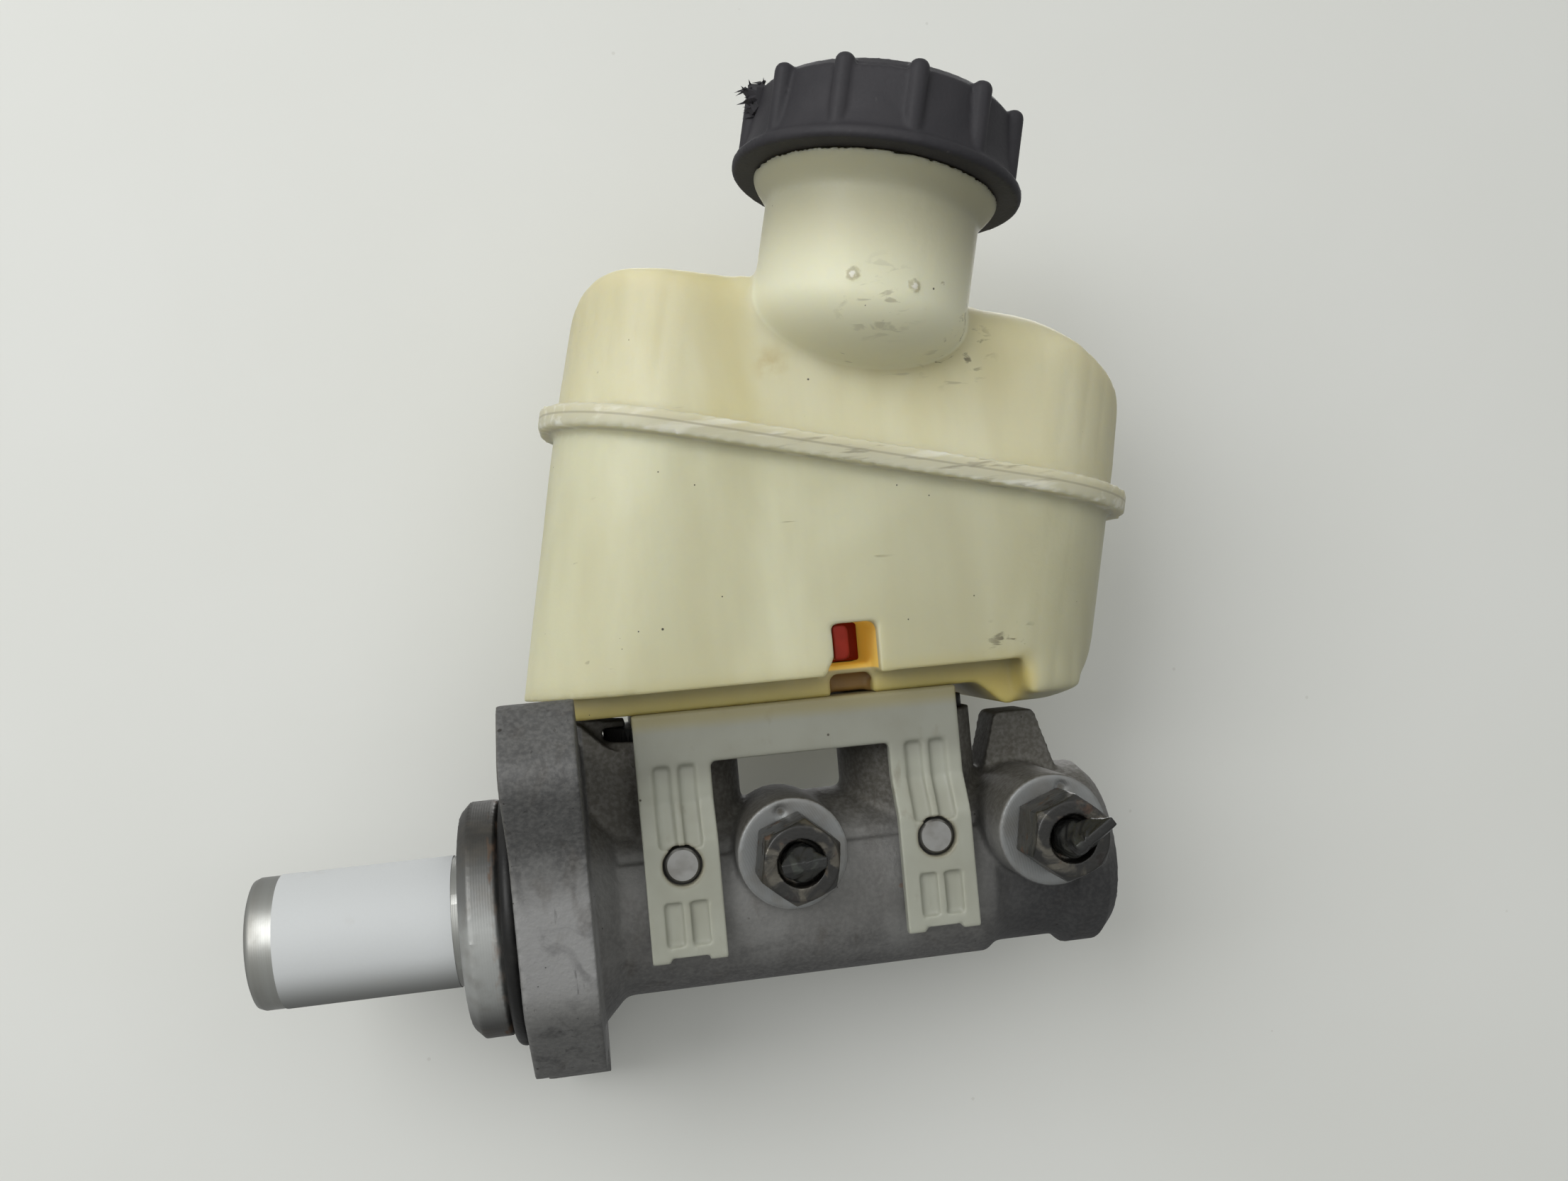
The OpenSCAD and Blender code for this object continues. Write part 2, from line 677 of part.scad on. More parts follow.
// Reservoir
module plan(grow, height) {
    l = res_half_l + grow;
    w = res_half_w + grow;
    r = plan_r + grow;
    linear_extrude(height) polygon(rounded([[-l, -w], [l, -w], [l, w], [-l, w]], [r, r, r, r]));
}
module below_weld(inset) {
    depth = 2 * res_half_l;
    reservoir_frame() translate([0, 0, -depth]) plan(-inset, depth + 2);
}
module tub(inset, low, top) {
    intersection() {
        slab_y(-res_half_w, res_half_w) polygon([
            in_part(-res_half_l + inset, top), wall_at(-1, low, inset), wall_at(1, low, inset),
            in_part(res_half_l - inset, top)
        ]);
        below_weld(inset);
    }
}
module sump(inset) {
    rear = 9 + inset;
    step_x = inlet_x[1] + spigot_d;
    low = sump_z + inset;
    deep = low - pocket_drop;
    outline = [
        [rear, floor_top + EPS], [rear + 3, low], [step_x + inset, low], [step_x + inset + 5, deep],
        [step_x + 16, deep], wall_at(1, sump_z + 2, inset), wall_at(1, floor_top + EPS, inset)
    ];
    intersection() {
        slab_y(-sump_half_w + inset, sump_half_w - inset) polygon(rounded(outline, [0, 2, 4, 3, 6, 6, 0]));
        below_weld(inset);
    }
}
module channel_block() {
    half = channel_w / 2 + channel_wall;
    block(
        [sensor_x - half, -res_half_w, channel_z - channel_wall + 0.5],
        [sensor_x + half, res_half_w, roof_top]
    );
}
module float_fence() {
    difference() {
        translate([sensor_x, float_y, roof_top - EPS]) difference() {
            cylinder(h = fence_h, r = fence_r + fence_t);
            translate([0, 0, -1]) cylinder(h = fence_h + 2, r = fence_r);
        }
        block(
            [sensor_x - 2 * fence_r, float_y - 4, roof_top - 1],
            [sensor_x + 2 * fence_r, float_y + 4, roof_top + fence_h + 1]
        );
    }
}
module channel_cuts() {
    half = channel_w / 2;
    far = res_half_w + 1;
    left = sensor_x - half;
    right = sensor_x + half;
    block([left, -far, channel_z], [right, far, channel_top]);
    // Notch in the front of the skirt, where the sensor's latch shows
    slab_y(-far, -sump_half_w) polygon(rounded(
        [
            [left - 2.4, skirt_z - 1], [left, skirt_z + 3.2], [left, channel_top],
            [right, channel_top], [right, skirt_z - 1]
        ],
        [0, 1.5, 0.8, 1, 0]
    ));
    // Gap between the two halves of the sump
    block([left + 0.2, -far, sump_z - pocket_drop - 1], [right - 0.2, far, channel_z - channel_wall + 0.5]);
}
module reservoir_lower() color("lemonchiffon") {
    spigot_end = seat_bottom + 1.5;
    difference() {
        union() {
            difference() {
                union() {
                    difference() {
                        tub(0, skirt_z, 0);
                        // Hollow under the floor, inside the skirt
                        intersection() {
                            tub(wall, skirt_z - 1, 0);
                            block([-50, -99, skirt_z - 5], [250, 99, floor_under]);
                        }
                    }
                    sump(0);
                    reservoir_frame() translate([0, 0, -bead_h / 2]) plan(bead_w, bead_h / 2);
                }
                tub(wall, floor_top, 1);
                sump(wall);
            }
            channel_block();
            float_fence();
            for (x = inlet_x)
                translate([x, 0, spigot_end]) cylinder(h = sump_z + 1 - spigot_end, d = spigot_d);
        }
        channel_cuts();
        for (x = inlet_x)
            translate([x, 0, spigot_end - 1]) cylinder(h = sump_z + wall + 2 - spigot_end, d = spigot_d - 4);
    }
}
module dome(inset) {
    l = res_half_l - inset;
    w = res_half_w - inset;
    lean = 2.9;
    top = dome_h - inset;
    side = [
        [-l, -inset], [-l + 0.6, dome_rear_h - inset], [l - lean - front_slope_l, top],
        [l - lean, dome_front_h - inset], [l, -inset]
    ];
    end = [[-w, -inset], [-w, top], [w, top], [w, -inset]];
    intersection() {
        slab_y(-w, w) polygon(rounded(side, [0, 9 - inset, 20 - inset, 9 - inset, 0]));
        slab_x(-l, l) polygon(rounded(end, [0, 9 - inset, 9 - inset, 0]));
        translate([0, 0, -inset]) plan(-inset, dome_h);
    }
}
neck_seam = dome_h + 2.6;
module neck_socket(r) {
    translate([neck_p, neck_y, neck_root]) {
        scale([1, 1, (neck_cup - neck_r + r) / r]) sphere(r = r);
        cylinder(h = neck_top - neck_root, r = r);
    }
}
module reservoir_upper() color("lemonchiffon") {
    reservoir_frame() difference() {
        union() {
            dome(0);
            plan(bead_w, bead_h / 2);
            neck_socket(neck_r);
        }
        dome(wall);
        neck_socket(neck_bore_r);
        translate([neck_p, neck_y, neck_seam]) cylinder(h = neck_top, r = neck_r + 1);
    }
}
// The straight neck above the dome, which is moulded on
module reservoir_neck() color("lemonchiffon") {
    neck_frame() rotate_extrude() polygon([
        [neck_bore_r, neck_seam], [neck_r, neck_seam], [neck_r, cap_bottom - 3.6],
        [collar_r, cap_bottom - 2.2], [collar_r, cap_bottom - 0.3], [neck_r, cap_bottom - 0.3],
        [neck_r, neck_top], [neck_bore_r, neck_top]
    ]);
}

// Filler cap
module filler_cap() color("dimgray") {
    rim_h = 1.8;
    edge = 1.8;
    pitch = 360 / rib_count;
    rib_top = cap_top - 0.4;
    neck_frame() union() {
        rotate_extrude() polygon([
            [cap_bore_r, cap_bottom], [cap_rim_r - 0.6, cap_bottom], [cap_rim_r, cap_bottom + 0.6],
            [cap_rim_r, cap_bottom + rim_h], [cap_r + 1.2, cap_bottom + rim_h + 1.2],
            [cap_r + 0.6, cap_bottom + 5.5], [cap_r - 0.4, cap_top - edge], [cap_r - 0.4 - edge, cap_top],
            [0, cap_top], [0, cap_ceiling], [cap_bore_r, cap_ceiling]
        ]);
        for (i = [0 : rib_count - 1])
            rotate(i * pitch - 90 + pitch / 2 + cap_turn) translate([cap_r - 0.2, 0, cap_bottom + rim_h])
                cylinder(h = rib_top - cap_bottom - rim_h, r = rib_r);
        // Flat pad between the two ribs that face the ports
        pad_w = 2 * cap_r * sin(pitch / 2);
        rotate(cap_turn) translate([-pad_w / 2, -cap_r - 0.2, cap_bottom + rim_h])
            cube([pad_w, 4, cap_top - cap_bottom - rim_h - 2.4]);
    }
}
module cap_gasket() color("black") {
    sag = 4.5;
    seat = neck_bore_r - 3.6;
    low = neck_top + seat_gap;
    high = cap_ceiling - seat_gap;
    neck_frame() rotate_extrude() polygon([
        [0, neck_top - sag], [seat - 2, neck_top - sag], [seat, low], [neck_r + 0.9, low],
        [neck_r + 0.9, high], [seat - 1, high], [seat - 3, neck_top - sag + 2],
        [0, neck_top - sag + 2]
    ]);
}

// Level sensor, pushed in from the back of the reservoir
sensor_low = channel_z + sensor_gap;
sensor_high = channel_top - sensor_gap;
sensor_half = channel_w / 2 - sensor_gap;
reed_z = sensor_high - 2.2;
reed_r = 1.2;
reed_l = 15;
blade = [2.8, 0.8];
blade_pitch = 4;
blade_root = res_half_w - 4;
blade_end = res_half_w + socket_reach - 6;
module blade_pair(gap) {
    z = (sensor_low + sensor_high) / 2;
    for (side = [-1, 1])
        block(
            [sensor_x + side * blade_pitch / 2 - blade.y / 2 - gap, blade_root - gap, z - blade.x / 2 - gap],
            [sensor_x + side * blade_pitch / 2 + blade.y / 2 + gap, blade_end + gap, z + blade.x / 2 + gap]
        );
}
module sensor_section(half, low, high, y0, y1, radius) {
    slab_y(y0, y1) polygon(rounded(
        [[sensor_x - half, low], [sensor_x + half, low], [sensor_x + half, high], [sensor_x - half, high]],
        [radius, radius, radius, radius]
    ));
}
module level_sensor() color("orangered") {
    latch_w = 3;
    latch_y = -res_half_w + 1;
    latch_root = -6;
    latch_x = sensor_x - sensor_half;
    head = res_half_w + 0.05;
    head_t = 2.4;
    mouth = head + socket_reach;
    lap = 1.6;
    shroud = 1.5;
    socket_half = channel_w / 2 + lap - 0.1;
    difference() {
        union() {
            sensor_section(sensor_half, sensor_low, sensor_high, latch_root, head + 1, 0);
            slab_y(latch_y, latch_root + 1) polygon(rounded(
                [
                    [latch_x, sensor_low + 1], [latch_x + latch_w, sensor_low + 1],
                    [latch_x + latch_w, sensor_high], [latch_x, sensor_high]
                ],
                [0.6, 1.3, 1.3, 0.6]
            ));
            sensor_section(socket_half + 0.5, channel_z - lap, channel_top + lap, head, head + head_t, 1);
            sensor_section(socket_half, channel_z - lap + 0.5, channel_top + lap - 0.5, head, mouth, 1.5);
            // Ramp that a plug's latch snaps over
            block([sensor_x - 2, mouth - 8, channel_top], [sensor_x + 2, mouth - 4, channel_top + lap + 0.8]);
        }
        sensor_section(
            socket_half - shroud, channel_z - lap + 0.5 + shroud, channel_top + lap - 0.5 - shroud,
            head + 4, mouth + 1, 0.8
        );
        blade_pair(seat_gap);
        reed_bore = reed_l / 2 + seat_gap;
        along_y(sensor_x, reed_z, float_y - reed_bore, float_y + reed_bore, reed_r + seat_gap);
    }
}
module sensor_terminals() color("goldenrod") blade_pair(0);
module reed_switch() color("lightblue")
    along_y(sensor_x, reed_z, float_y - reed_l / 2, float_y + reed_l / 2, reed_r);

// Float that rides in the fence over the sensor channel
magnet_r = 3;
magnet_h = 3;
module level_float() color("tan") {
    bevel = 1;
    translate([sensor_x, float_y, float_z]) difference() {
        rotate_extrude() polygon([
            [0, 0], [float_r - bevel, 0], [float_r, bevel], [float_r, float_h - bevel],
            [float_r - bevel, float_h], [0, float_h]
        ]);
        translate([0, 0, -EPS]) cylinder(h = magnet_h + 0.1, r = magnet_r + seat_gap);
    }
}
module float_magnet() color("darkslategray")
    translate([sensor_x, float_y, float_z]) cylinder(h = magnet_h, r = magnet_r);

master_body();
pilot_o_ring();
primary_piston();
secondary_piston();
primary_spring();
secondary_spring();
spring_retainer();
retainer_screw();
retaining_ring();
vacuum_seal();
guide_ring();
primary_rear_seal();
primary_pressure_seal();
separating_seal();
secondary_pressure_seal();
rear_grommet();
front_grommet();
rear_tube_nut();
front_tube_nut();
rear_tube_stub();
front_tube_stub();
reservoir_clip();
reservoir_lower();
reservoir_upper();
reservoir_neck();
filler_cap();
cap_gasket();
level_sensor();
sensor_terminals();
reed_switch();
level_float();
float_magnet();
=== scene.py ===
"""Looks of a tandem brake master cylinder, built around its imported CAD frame."""

from __future__ import annotations

import json
import logging
import math
import random
from dataclasses import dataclass, field
from enum import Enum
from typing import Callable, ClassVar, Mapping, Sequence, Union

import bmesh
import bpy
import numpy as np
from mathutils import Matrix, Vector


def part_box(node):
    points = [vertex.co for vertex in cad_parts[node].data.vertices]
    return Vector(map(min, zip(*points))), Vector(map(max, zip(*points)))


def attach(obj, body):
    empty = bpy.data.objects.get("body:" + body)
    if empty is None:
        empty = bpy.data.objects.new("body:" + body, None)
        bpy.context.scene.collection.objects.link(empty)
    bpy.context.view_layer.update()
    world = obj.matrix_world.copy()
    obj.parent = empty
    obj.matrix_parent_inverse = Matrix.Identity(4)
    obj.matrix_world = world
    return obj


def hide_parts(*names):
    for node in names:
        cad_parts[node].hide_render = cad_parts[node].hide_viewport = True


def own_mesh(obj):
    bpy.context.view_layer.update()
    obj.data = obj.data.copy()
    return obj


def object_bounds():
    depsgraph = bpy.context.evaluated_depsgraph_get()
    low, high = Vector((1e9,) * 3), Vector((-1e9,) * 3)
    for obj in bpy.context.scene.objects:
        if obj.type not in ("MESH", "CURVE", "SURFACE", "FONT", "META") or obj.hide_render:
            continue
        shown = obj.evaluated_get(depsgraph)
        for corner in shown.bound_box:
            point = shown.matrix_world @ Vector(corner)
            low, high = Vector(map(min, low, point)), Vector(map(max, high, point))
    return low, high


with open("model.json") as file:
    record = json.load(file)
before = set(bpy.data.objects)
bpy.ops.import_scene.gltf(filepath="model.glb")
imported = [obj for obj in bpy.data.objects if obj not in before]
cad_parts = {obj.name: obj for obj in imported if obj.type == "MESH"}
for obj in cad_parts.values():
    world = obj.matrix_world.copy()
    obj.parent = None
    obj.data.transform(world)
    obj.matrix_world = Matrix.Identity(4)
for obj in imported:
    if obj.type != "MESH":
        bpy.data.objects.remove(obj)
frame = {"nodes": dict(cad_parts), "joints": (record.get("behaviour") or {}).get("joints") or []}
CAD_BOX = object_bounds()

LOG = logging.getLogger("master_cylinder")
MM = 0.001
WELD = 0.002 * MM
MOST_TRIANGLES = 190_000
Color = tuple[float, float, float, float]
Where = Callable[[np.ndarray], np.ndarray]
Point = tuple[float, float, float]


def paint(red: float, green: float, blue: float) -> Color:
    """Turns a display colour into the linear one that a shader takes.

    Args:
        red, green, blue: display values from 0 to 255.

    Returns:
        The linear colour with full alpha.
    """
    def linear(value: float) -> float:
        """One channel."""
        v = value / 255
        return v / 12.92 if v <= 0.04045 else ((v + 0.055) / 1.055) ** 2.4

    return (linear(red), linear(green), linear(blue), 1.0)


# Node trees


class Signal:
    """A socket of a node tree, with Python's operators for the values on it."""

    def __init__(self, graph: "Graph", socket: bpy.types.NodeSocket) -> None:
        """Keeps the socket and the graph that it belongs to."""
        self.graph = graph
        self.socket = socket

    def _math(self, operation: str, left: "Operand", right: "Operand") -> "Signal":
        """Adds one Math node with two values."""
        return self.graph.node("ShaderNodeMath", {"operation": operation}, {0: left, 1: right})

    def __add__(self, other: "Operand") -> "Signal":
        """self + other"""
        return self._math("ADD", self, other)

    def __radd__(self, other: "Operand") -> "Signal":
        """other + self"""
        return self._math("ADD", other, self)

    def __sub__(self, other: "Operand") -> "Signal":
        """self - other"""
        return self._math("SUBTRACT", self, other)

    def __rsub__(self, other: "Operand") -> "Signal":
        """other - self"""
        return self._math("SUBTRACT", other, self)

    def __mul__(self, other: "Operand") -> "Signal":
        """self * other"""
        return self._math("MULTIPLY", self, other)

    def __rmul__(self, other: "Operand") -> "Signal":
        """other * self"""
        return self._math("MULTIPLY", other, self)

    def __truediv__(self, other: "Operand") -> "Signal":
        """self / other"""
        return self._math("DIVIDE", self, other)

    def __rtruediv__(self, other: "Operand") -> "Signal":
        """other / self"""
        return self._math("DIVIDE", other, self)

    def __pow__(self, other: "Operand") -> "Signal":
        """self ** other"""
        return self._math("POWER", self, other)

    def most(self, other: "Operand") -> "Signal":
        """The larger of two values."""
        return self._math("MAXIMUM", self, other)

    def sine(self) -> "Signal":
        """The sine of the value."""
        return self._math("SINE", self, 0.0)

    def step(self, low: float, high: float) -> "Signal":
        """A soft mask that is 0 at low and 1 at high, which may be below low."""
        ends = {"Value": self, "From Min": low, "From Max": high}
        return self.graph.node("ShaderNodeMapRange", {"interpolation_type": "SMOOTHSTEP"}, ends)

    def between(self, low: float, high: float, soft: float) -> "Signal":
        """A mask that is 1 from low to high, with soft edges."""
        return self.step(low - soft, low) * self.step(high + soft, high)


Operand = Union[Signal, float]
Setting = Union[str, float, bool, tuple]


class Graph:
    """Builds one node tree, for a material, the world or a geometry."""

    def __init__(self, tree: bpy.types.NodeTree) -> None:
        """Starts with an empty tree."""
        self.tree = tree
        tree.nodes.clear()

    def node(
        self, kind: str, settings: Mapping[str, Setting] | None = None,
        inputs: Mapping[int | str, object] | None = None, out: int | str = 0,
    ) -> Signal:
        """Adds a node of any type.

        Args:
            kind: the node's type.
            settings: its settings, which are set first.
            inputs: values or links by socket name or number.
            out: the output that is handed back.

        Returns:
            That output.
        """
        made = self.tree.nodes.new(kind)
        for key, value in (settings or {}).items():
            setattr(made, key, value)
        for key, value in (inputs or {}).items():
            self.feed(made.inputs[key], value)
        return Signal(self, made.outputs[out] if made.outputs else None)

    def feed(self, socket: bpy.types.NodeSocket, value: object) -> None:
        """Links a signal to a socket, or sets its value.

        Args:
            socket: an input of a node.
            value: a signal, or the value that the socket is set to.
        """
        if isinstance(value, Signal):
            self.tree.links.new(value.socket, socket)
        else:
            socket.default_value = value

    def mix(self, factor: Operand, start: object, end: object) -> Signal:
        """Blends two colours; factor 0 gives start and 1 gives end."""
        return self.node("ShaderNodeMix", {"data_type": "RGBA"}, {0: factor, 6: start, 7: end}, 2)

    def place(self) -> Signal:
        """The point on the piece, in millimetres."""
        point = self.node("ShaderNodeTexCoord", out="Object")
        return self.node("ShaderNodeVectorMath", {"operation": "SCALE"}, {0: point, "Scale": 1 / MM})

    def split(self, vector: Signal) -> tuple[Signal, Signal, Signal]:
        """Takes a vector apart.

        Args:
            vector: the vector.

        Returns:
            Its three parts.
        """
        parts = self.node("ShaderNodeSeparateXYZ", inputs={0: vector})
        outputs = parts.socket.node.outputs
        return parts, Signal(self, outputs[1]), Signal(self, outputs[2])

    def vector(
        self, operation: str, left: object, right: object = (0, 0, 0), out: str = "Vector"
    ) -> Signal:
        """Adds one Vector Math node and gives the named output."""
        return self.node("ShaderNodeVectorMath", {"operation": operation}, {0: left, 1: right}, out)

    def stretched(self, scale: Sequence[float], turn: Sequence[float] = (0, 0, 0)) -> Signal:
        """The point on the piece, stretched for streaks.

        Args:
            scale: factor along each axis.
            turn: turn about each axis in degrees.

        Returns:
            The new point.
        """
        return self.node("ShaderNodeMapping", inputs={
            "Vector": self.place(), "Scale": tuple(scale),
            "Rotation": tuple(math.radians(a) for a in turn),
        })

    def noise(
        self, size: float, detail: float = 3, point: Signal | None = None, warp: float = 0
    ) -> Signal:
        """Cloudy noise from 0 to 1.

        Args:
            size: size of its largest features in millimetres.
            detail: number of finer layers.
            point: where it is read, the piece's own point if left out.
            warp: how far it is twisted.

        Returns:
            The noise.
        """
        return self.node("ShaderNodeTexNoise", inputs={
            "Vector": point or self.place(), "Scale": 1 / size, "Detail": detail, "Distortion": warp,
        })

    def specks(self, spacing: float, radius: float, share: float) -> Signal:
        """Small scattered round marks.

        Args:
            spacing: distance between them in millimetres.
            radius: their radius in millimetres.
            share: the share of places that has one.

        Returns:
            A mask from 0 to 1.
        """
        cells = self.node("ShaderNodeTexVoronoi", inputs={"Vector": self.place(), "Scale": 1 / spacing})
        chance, other, _ = self.split(Signal(self, cells.socket.node.outputs["Color"]))
        reach = radius / spacing
        # Each mark has its own size and an edge that fades over the outer part of it
        marks = (cells / (other * 0.8 + 0.4)).step(reach, reach * 0.6)
        return marks * chance.step(share, share - 0.02)

    def spot(self, centre: Sequence[float], radius: float, soft: float, ragged: float = 0) -> Signal:
        """A soft mark at one place, round or with a ragged edge.

        Args:
            centre: its middle in millimetres.
            radius: radius of its full part in millimetres.
            soft: width of its edge in millimetres.
            ragged: how far its edge wanders in millimetres.

        Returns:
            A mask from 0 to 1.
        """
        away = self.vector("DISTANCE", self.place(), tuple(centre), "Value")
        if ragged:
            away = away + (self.noise(1.1 * radius, 2) - 0.5) * (3 * ragged)
        return away.step(radius + soft, radius)

    def bump(self, height: Signal, depth: float, strength: float = 1.0) -> Signal:
        """A normal from a height.

        Args:
            height: the height, from 0 to 1.
            depth: how deep 0 lies below 1, in millimetres.
            strength: share of it that shows.

        Returns:
            The normal.
        """
        return self.node("ShaderNodeBump", inputs={
            "Height": height, "Distance": depth * MM, "Strength": strength,
        })

    def given(self, name: str) -> Signal:
        """One of the named inputs of a Geometry Nodes tree."""
        return self.node("NodeGroupInput", out=name)

    def upward(self, height: Operand) -> Signal:
        """A vector along Z."""
        return self.node("ShaderNodeCombineXYZ", inputs={"Z": height})

    def swept(self, path: Signal, outline: Signal, scale: Signal) -> Signal:
        """A closed tube along a curve, scaled at each of its points."""
        inputs = {"Curve": path, "Profile Curve": outline, "Scale": scale, "Fill Caps": True}
        return self.node("GeometryNodeCurveToMesh", inputs=inputs)

    def surface(self, **sockets: object) -> None:
        """Ends a material in one Principled shader.

        Args:
            sockets: values or links by socket name, with _ for spaces.
        """
        named = {key.replace("_", " "): value for key, value in sockets.items()}
        shader = self.node("ShaderNodeBsdfPrincipled", inputs=named)
        self.node("ShaderNodeOutputMaterial", inputs={"Surface": shader})


# Finishes


@dataclass(frozen=True)
class Finish:
    """A surface finish; each kind says how it is painted."""

    name: str

    def dress(self, g: Graph) -> None:
        """Builds the shader, with lengths in millimetres."""
        raise NotImplementedError

    def material(self) -> bpy.types.Material:
        """Makes the material, once for each finish.

        Returns:
            The material.
        """
        title = self.name + "_finish"
        found = bpy.data.materials.get(title)
        if found is None:
            found = bpy.data.materials.new(title)
            found.use_nodes = True
            self.dress(Graph(found.node_tree))
        return found


@dataclass(frozen=True)
class ReservoirPlastic(Finish):
    """Milky plastic that let the fluid's yellow in."""

    tub: tuple[Color, Color]
    dome: tuple[Color, Color]
    neck: tuple[Color, Color]
    foot: Point
    axis: Point
    neck_r: float
    neck_root: float
    neck_cup: float
    gates: tuple[Point, Point]

    def dress(self, g: Graph) -> None:
        """Cream clouds, a clearer neck, an amber foot, a scuffed bead, stains, specks and scratches.

        Args:
            g: the graph of the material.
        """
        x, y, z = g.split(g.place())
        arm = g.vector("SUBTRACT", g.place(), self.foot)
        rise = g.vector("DOT_PRODUCT", arm, self.axis, "Value")
        away = g.vector("LENGTH", g.vector("CROSS_PRODUCT", arm, self.axis), out="Value")
        cloud = g.noise(26, 3, g.stretched((1, 1, 0.4)), 0.6).step(0.3, 0.7)
        colour = g.mix(rise.step(-1, 1.5), g.mix(cloud, *self.tub), g.mix(cloud, *self.dome))
        # Faint bands down the walls, as the melt flowed
        band = g.noise(7, 3, g.stretched((1, 1, 0.12), (0, 12.8, 0))).step(0.42, 0.7)
        colour = g.mix(band * 0.12, colour, paint(180, 172, 130))
        # The rear end of the dome is yellower
        colour = g.mix(x.step(62, 42) * rise.step(6, 20) * 0.2, colour, paint(190, 178, 128))
        # Painted shade: the front end, away from the booster, is darker and greyer
        low = rise.step(2, -2)
        front_painted_shade = x.step(50, 92) * low * 0.36 + x.step(72, 128) * (1 - low) * 0.2
        colour = g.mix(front_painted_shade, colour, paint(142, 139, 113))
        # The neck is greener, with painted light at its foot, painted shade up under the cap, and
        # brownish painted shade on the underside of its domed end
        below = (self.neck_root - rise).most(0.0) * (self.neck_r / self.neck_cup)
        reach = (away * away + below * below) ** 0.5
        on_neck = reach.step(self.neck_r + 0.9, self.neck_r + 0.3) * rise.step(12, 13)
        on_neck = on_neck.most(rise.step(36, 37.5))
        colour = g.mix(on_neck * 0.9, colour, g.mix(rise.step(26, 46), *self.neck))
        # Painted shade, brownish, on the underside of the neck's domed end
        colour = g.mix(on_neck * rise.step(26, 15) * 0.2, colour, paint(170, 158, 112))
        # Amber where fluid stood at the foot of the tub; in the sensor's channel the amber is brightened
        # as painted light
        colour = g.mix(z.step(46, 38) * x.step(103, 99) * 0.85, colour, paint(188, 170, 92))
        channel_painted_light = y.between(-23.4, -4, 0.8) * x.between(59.5, 72, 0.4)
        channel_painted_light = channel_painted_light * z.between(43.4, 53, 0.5)
        colour = g.mix(channel_painted_light * 0.9, colour, paint(240, 196, 100))
        # Painted shade: brown on the wall under the sensor's channel
        web = y.between(-15, 15, 0.5) * x.between(61.5, 72, 0.4)
        colour = g.mix(web * z.between(37, 43.6, 0.3) * 0.9, colour, paint(150, 112, 62))
        # Weld bead: whitened by scuffs, with a fine line where the halves met
        bead = rise.between(-2.3, 2.3, 0.3)
        colour = g.mix(bead * 0.7, colour, paint(192, 190, 170))
        scuff = g.noise(2.4, 4, g.stretched((0.16, 1, 1), (0, 12.8, 0))).step(0.52, 0.66) * bead
        colour = g.mix(scuff * 0.6, colour, paint(222, 221, 208))
        soil = g.noise(0.9, 4, g.stretched((0.14, 1, 1), (0, 12.8, 0))).step(0.55, 0.7) * bead
        colour = g.mix(soil * x.between(60, 100, 14) * 0.5, colour, paint(118, 112, 92))
        colour = g.mix(rise.between(0.15, 0.35, 0.2) * bead * 0.5, colour, paint(150, 146, 124))
        # Stains at the neck's foot and at the skirt
        stain = g.spot((55.5, -27, 102), 0.5, 4.5) * g.noise(4, 3).step(0.35, 0.65)
        colour = g.mix(stain * 0.5, colour, paint(182, 160, 94))
        smear = g.noise(2.2, 4, g.stretched((0.5, 1, 1.3), (0, 40, 0)), 0.6).step(0.56, 0.66)
        grime = smear * (
            g.spot((91, -28, 103), 3, 7)
            + g.spot((97, -26, 46), 1, 6)
            + g.spot((73, -43.7, 108), 1, 10) * 0.45
        )
        colour = g.mix(grime * 0.8, colour, paint(88, 82, 62))
        speck = g.specks(7.5, 0.4, 0.4).most(g.specks(19, 0.75, 0.2) * smear)
        speck = speck.most(g.specks(3.2, 0.16, 0.3))
        scratch = g.noise(1.6, 2, g.stretched((0.12, 1, 1), (0, 24, 0))).step(0.72, 0.78)
        scratch = scratch * g.noise(20, 1).step(0.52, 0.62)
        colour = g.mix(speck * 0.95, colour, paint(38, 33, 24))
        colour = g.mix(scratch * 0.45, colour, paint(112, 104, 78))
        for gate in self.gates:
            colour = g.mix(g.spot(gate, 0.8, 0.7, 0.5) * 0.45, colour, paint(108, 100, 72))
            colour = g.mix(g.spot(gate, 0.5, 0.3, 0.4) * 0.9, colour, paint(226, 222, 208))
        sheen = g.noise(2.2, 4) * 0.16 + cloud * 0.08 + 0.36 + scuff * 0.15
        height = g.noise(9, 3) * 0.6 + g.noise(0.9, 2) * 0.12 - scratch * 0.2 - scuff * 0.15
        g.surface(
            Base_Color=colour, Roughness=sheen, Normal=g.bump(height, 0.4, 0.45),
            Subsurface_Weight=0.8, Subsurface_Radius=(1.0, 0.86, 0.55), Subsurface_Scale=6 * MM,
            Specular_IOR_Level=0.4, Emission_Strength=1.0,
            # Painted glow in the sensor's channel, for the light that comes through the wall
            Emission_Color=g.mix(channel_painted_light, paint(0, 0, 0), paint(112, 90, 30)),
        )


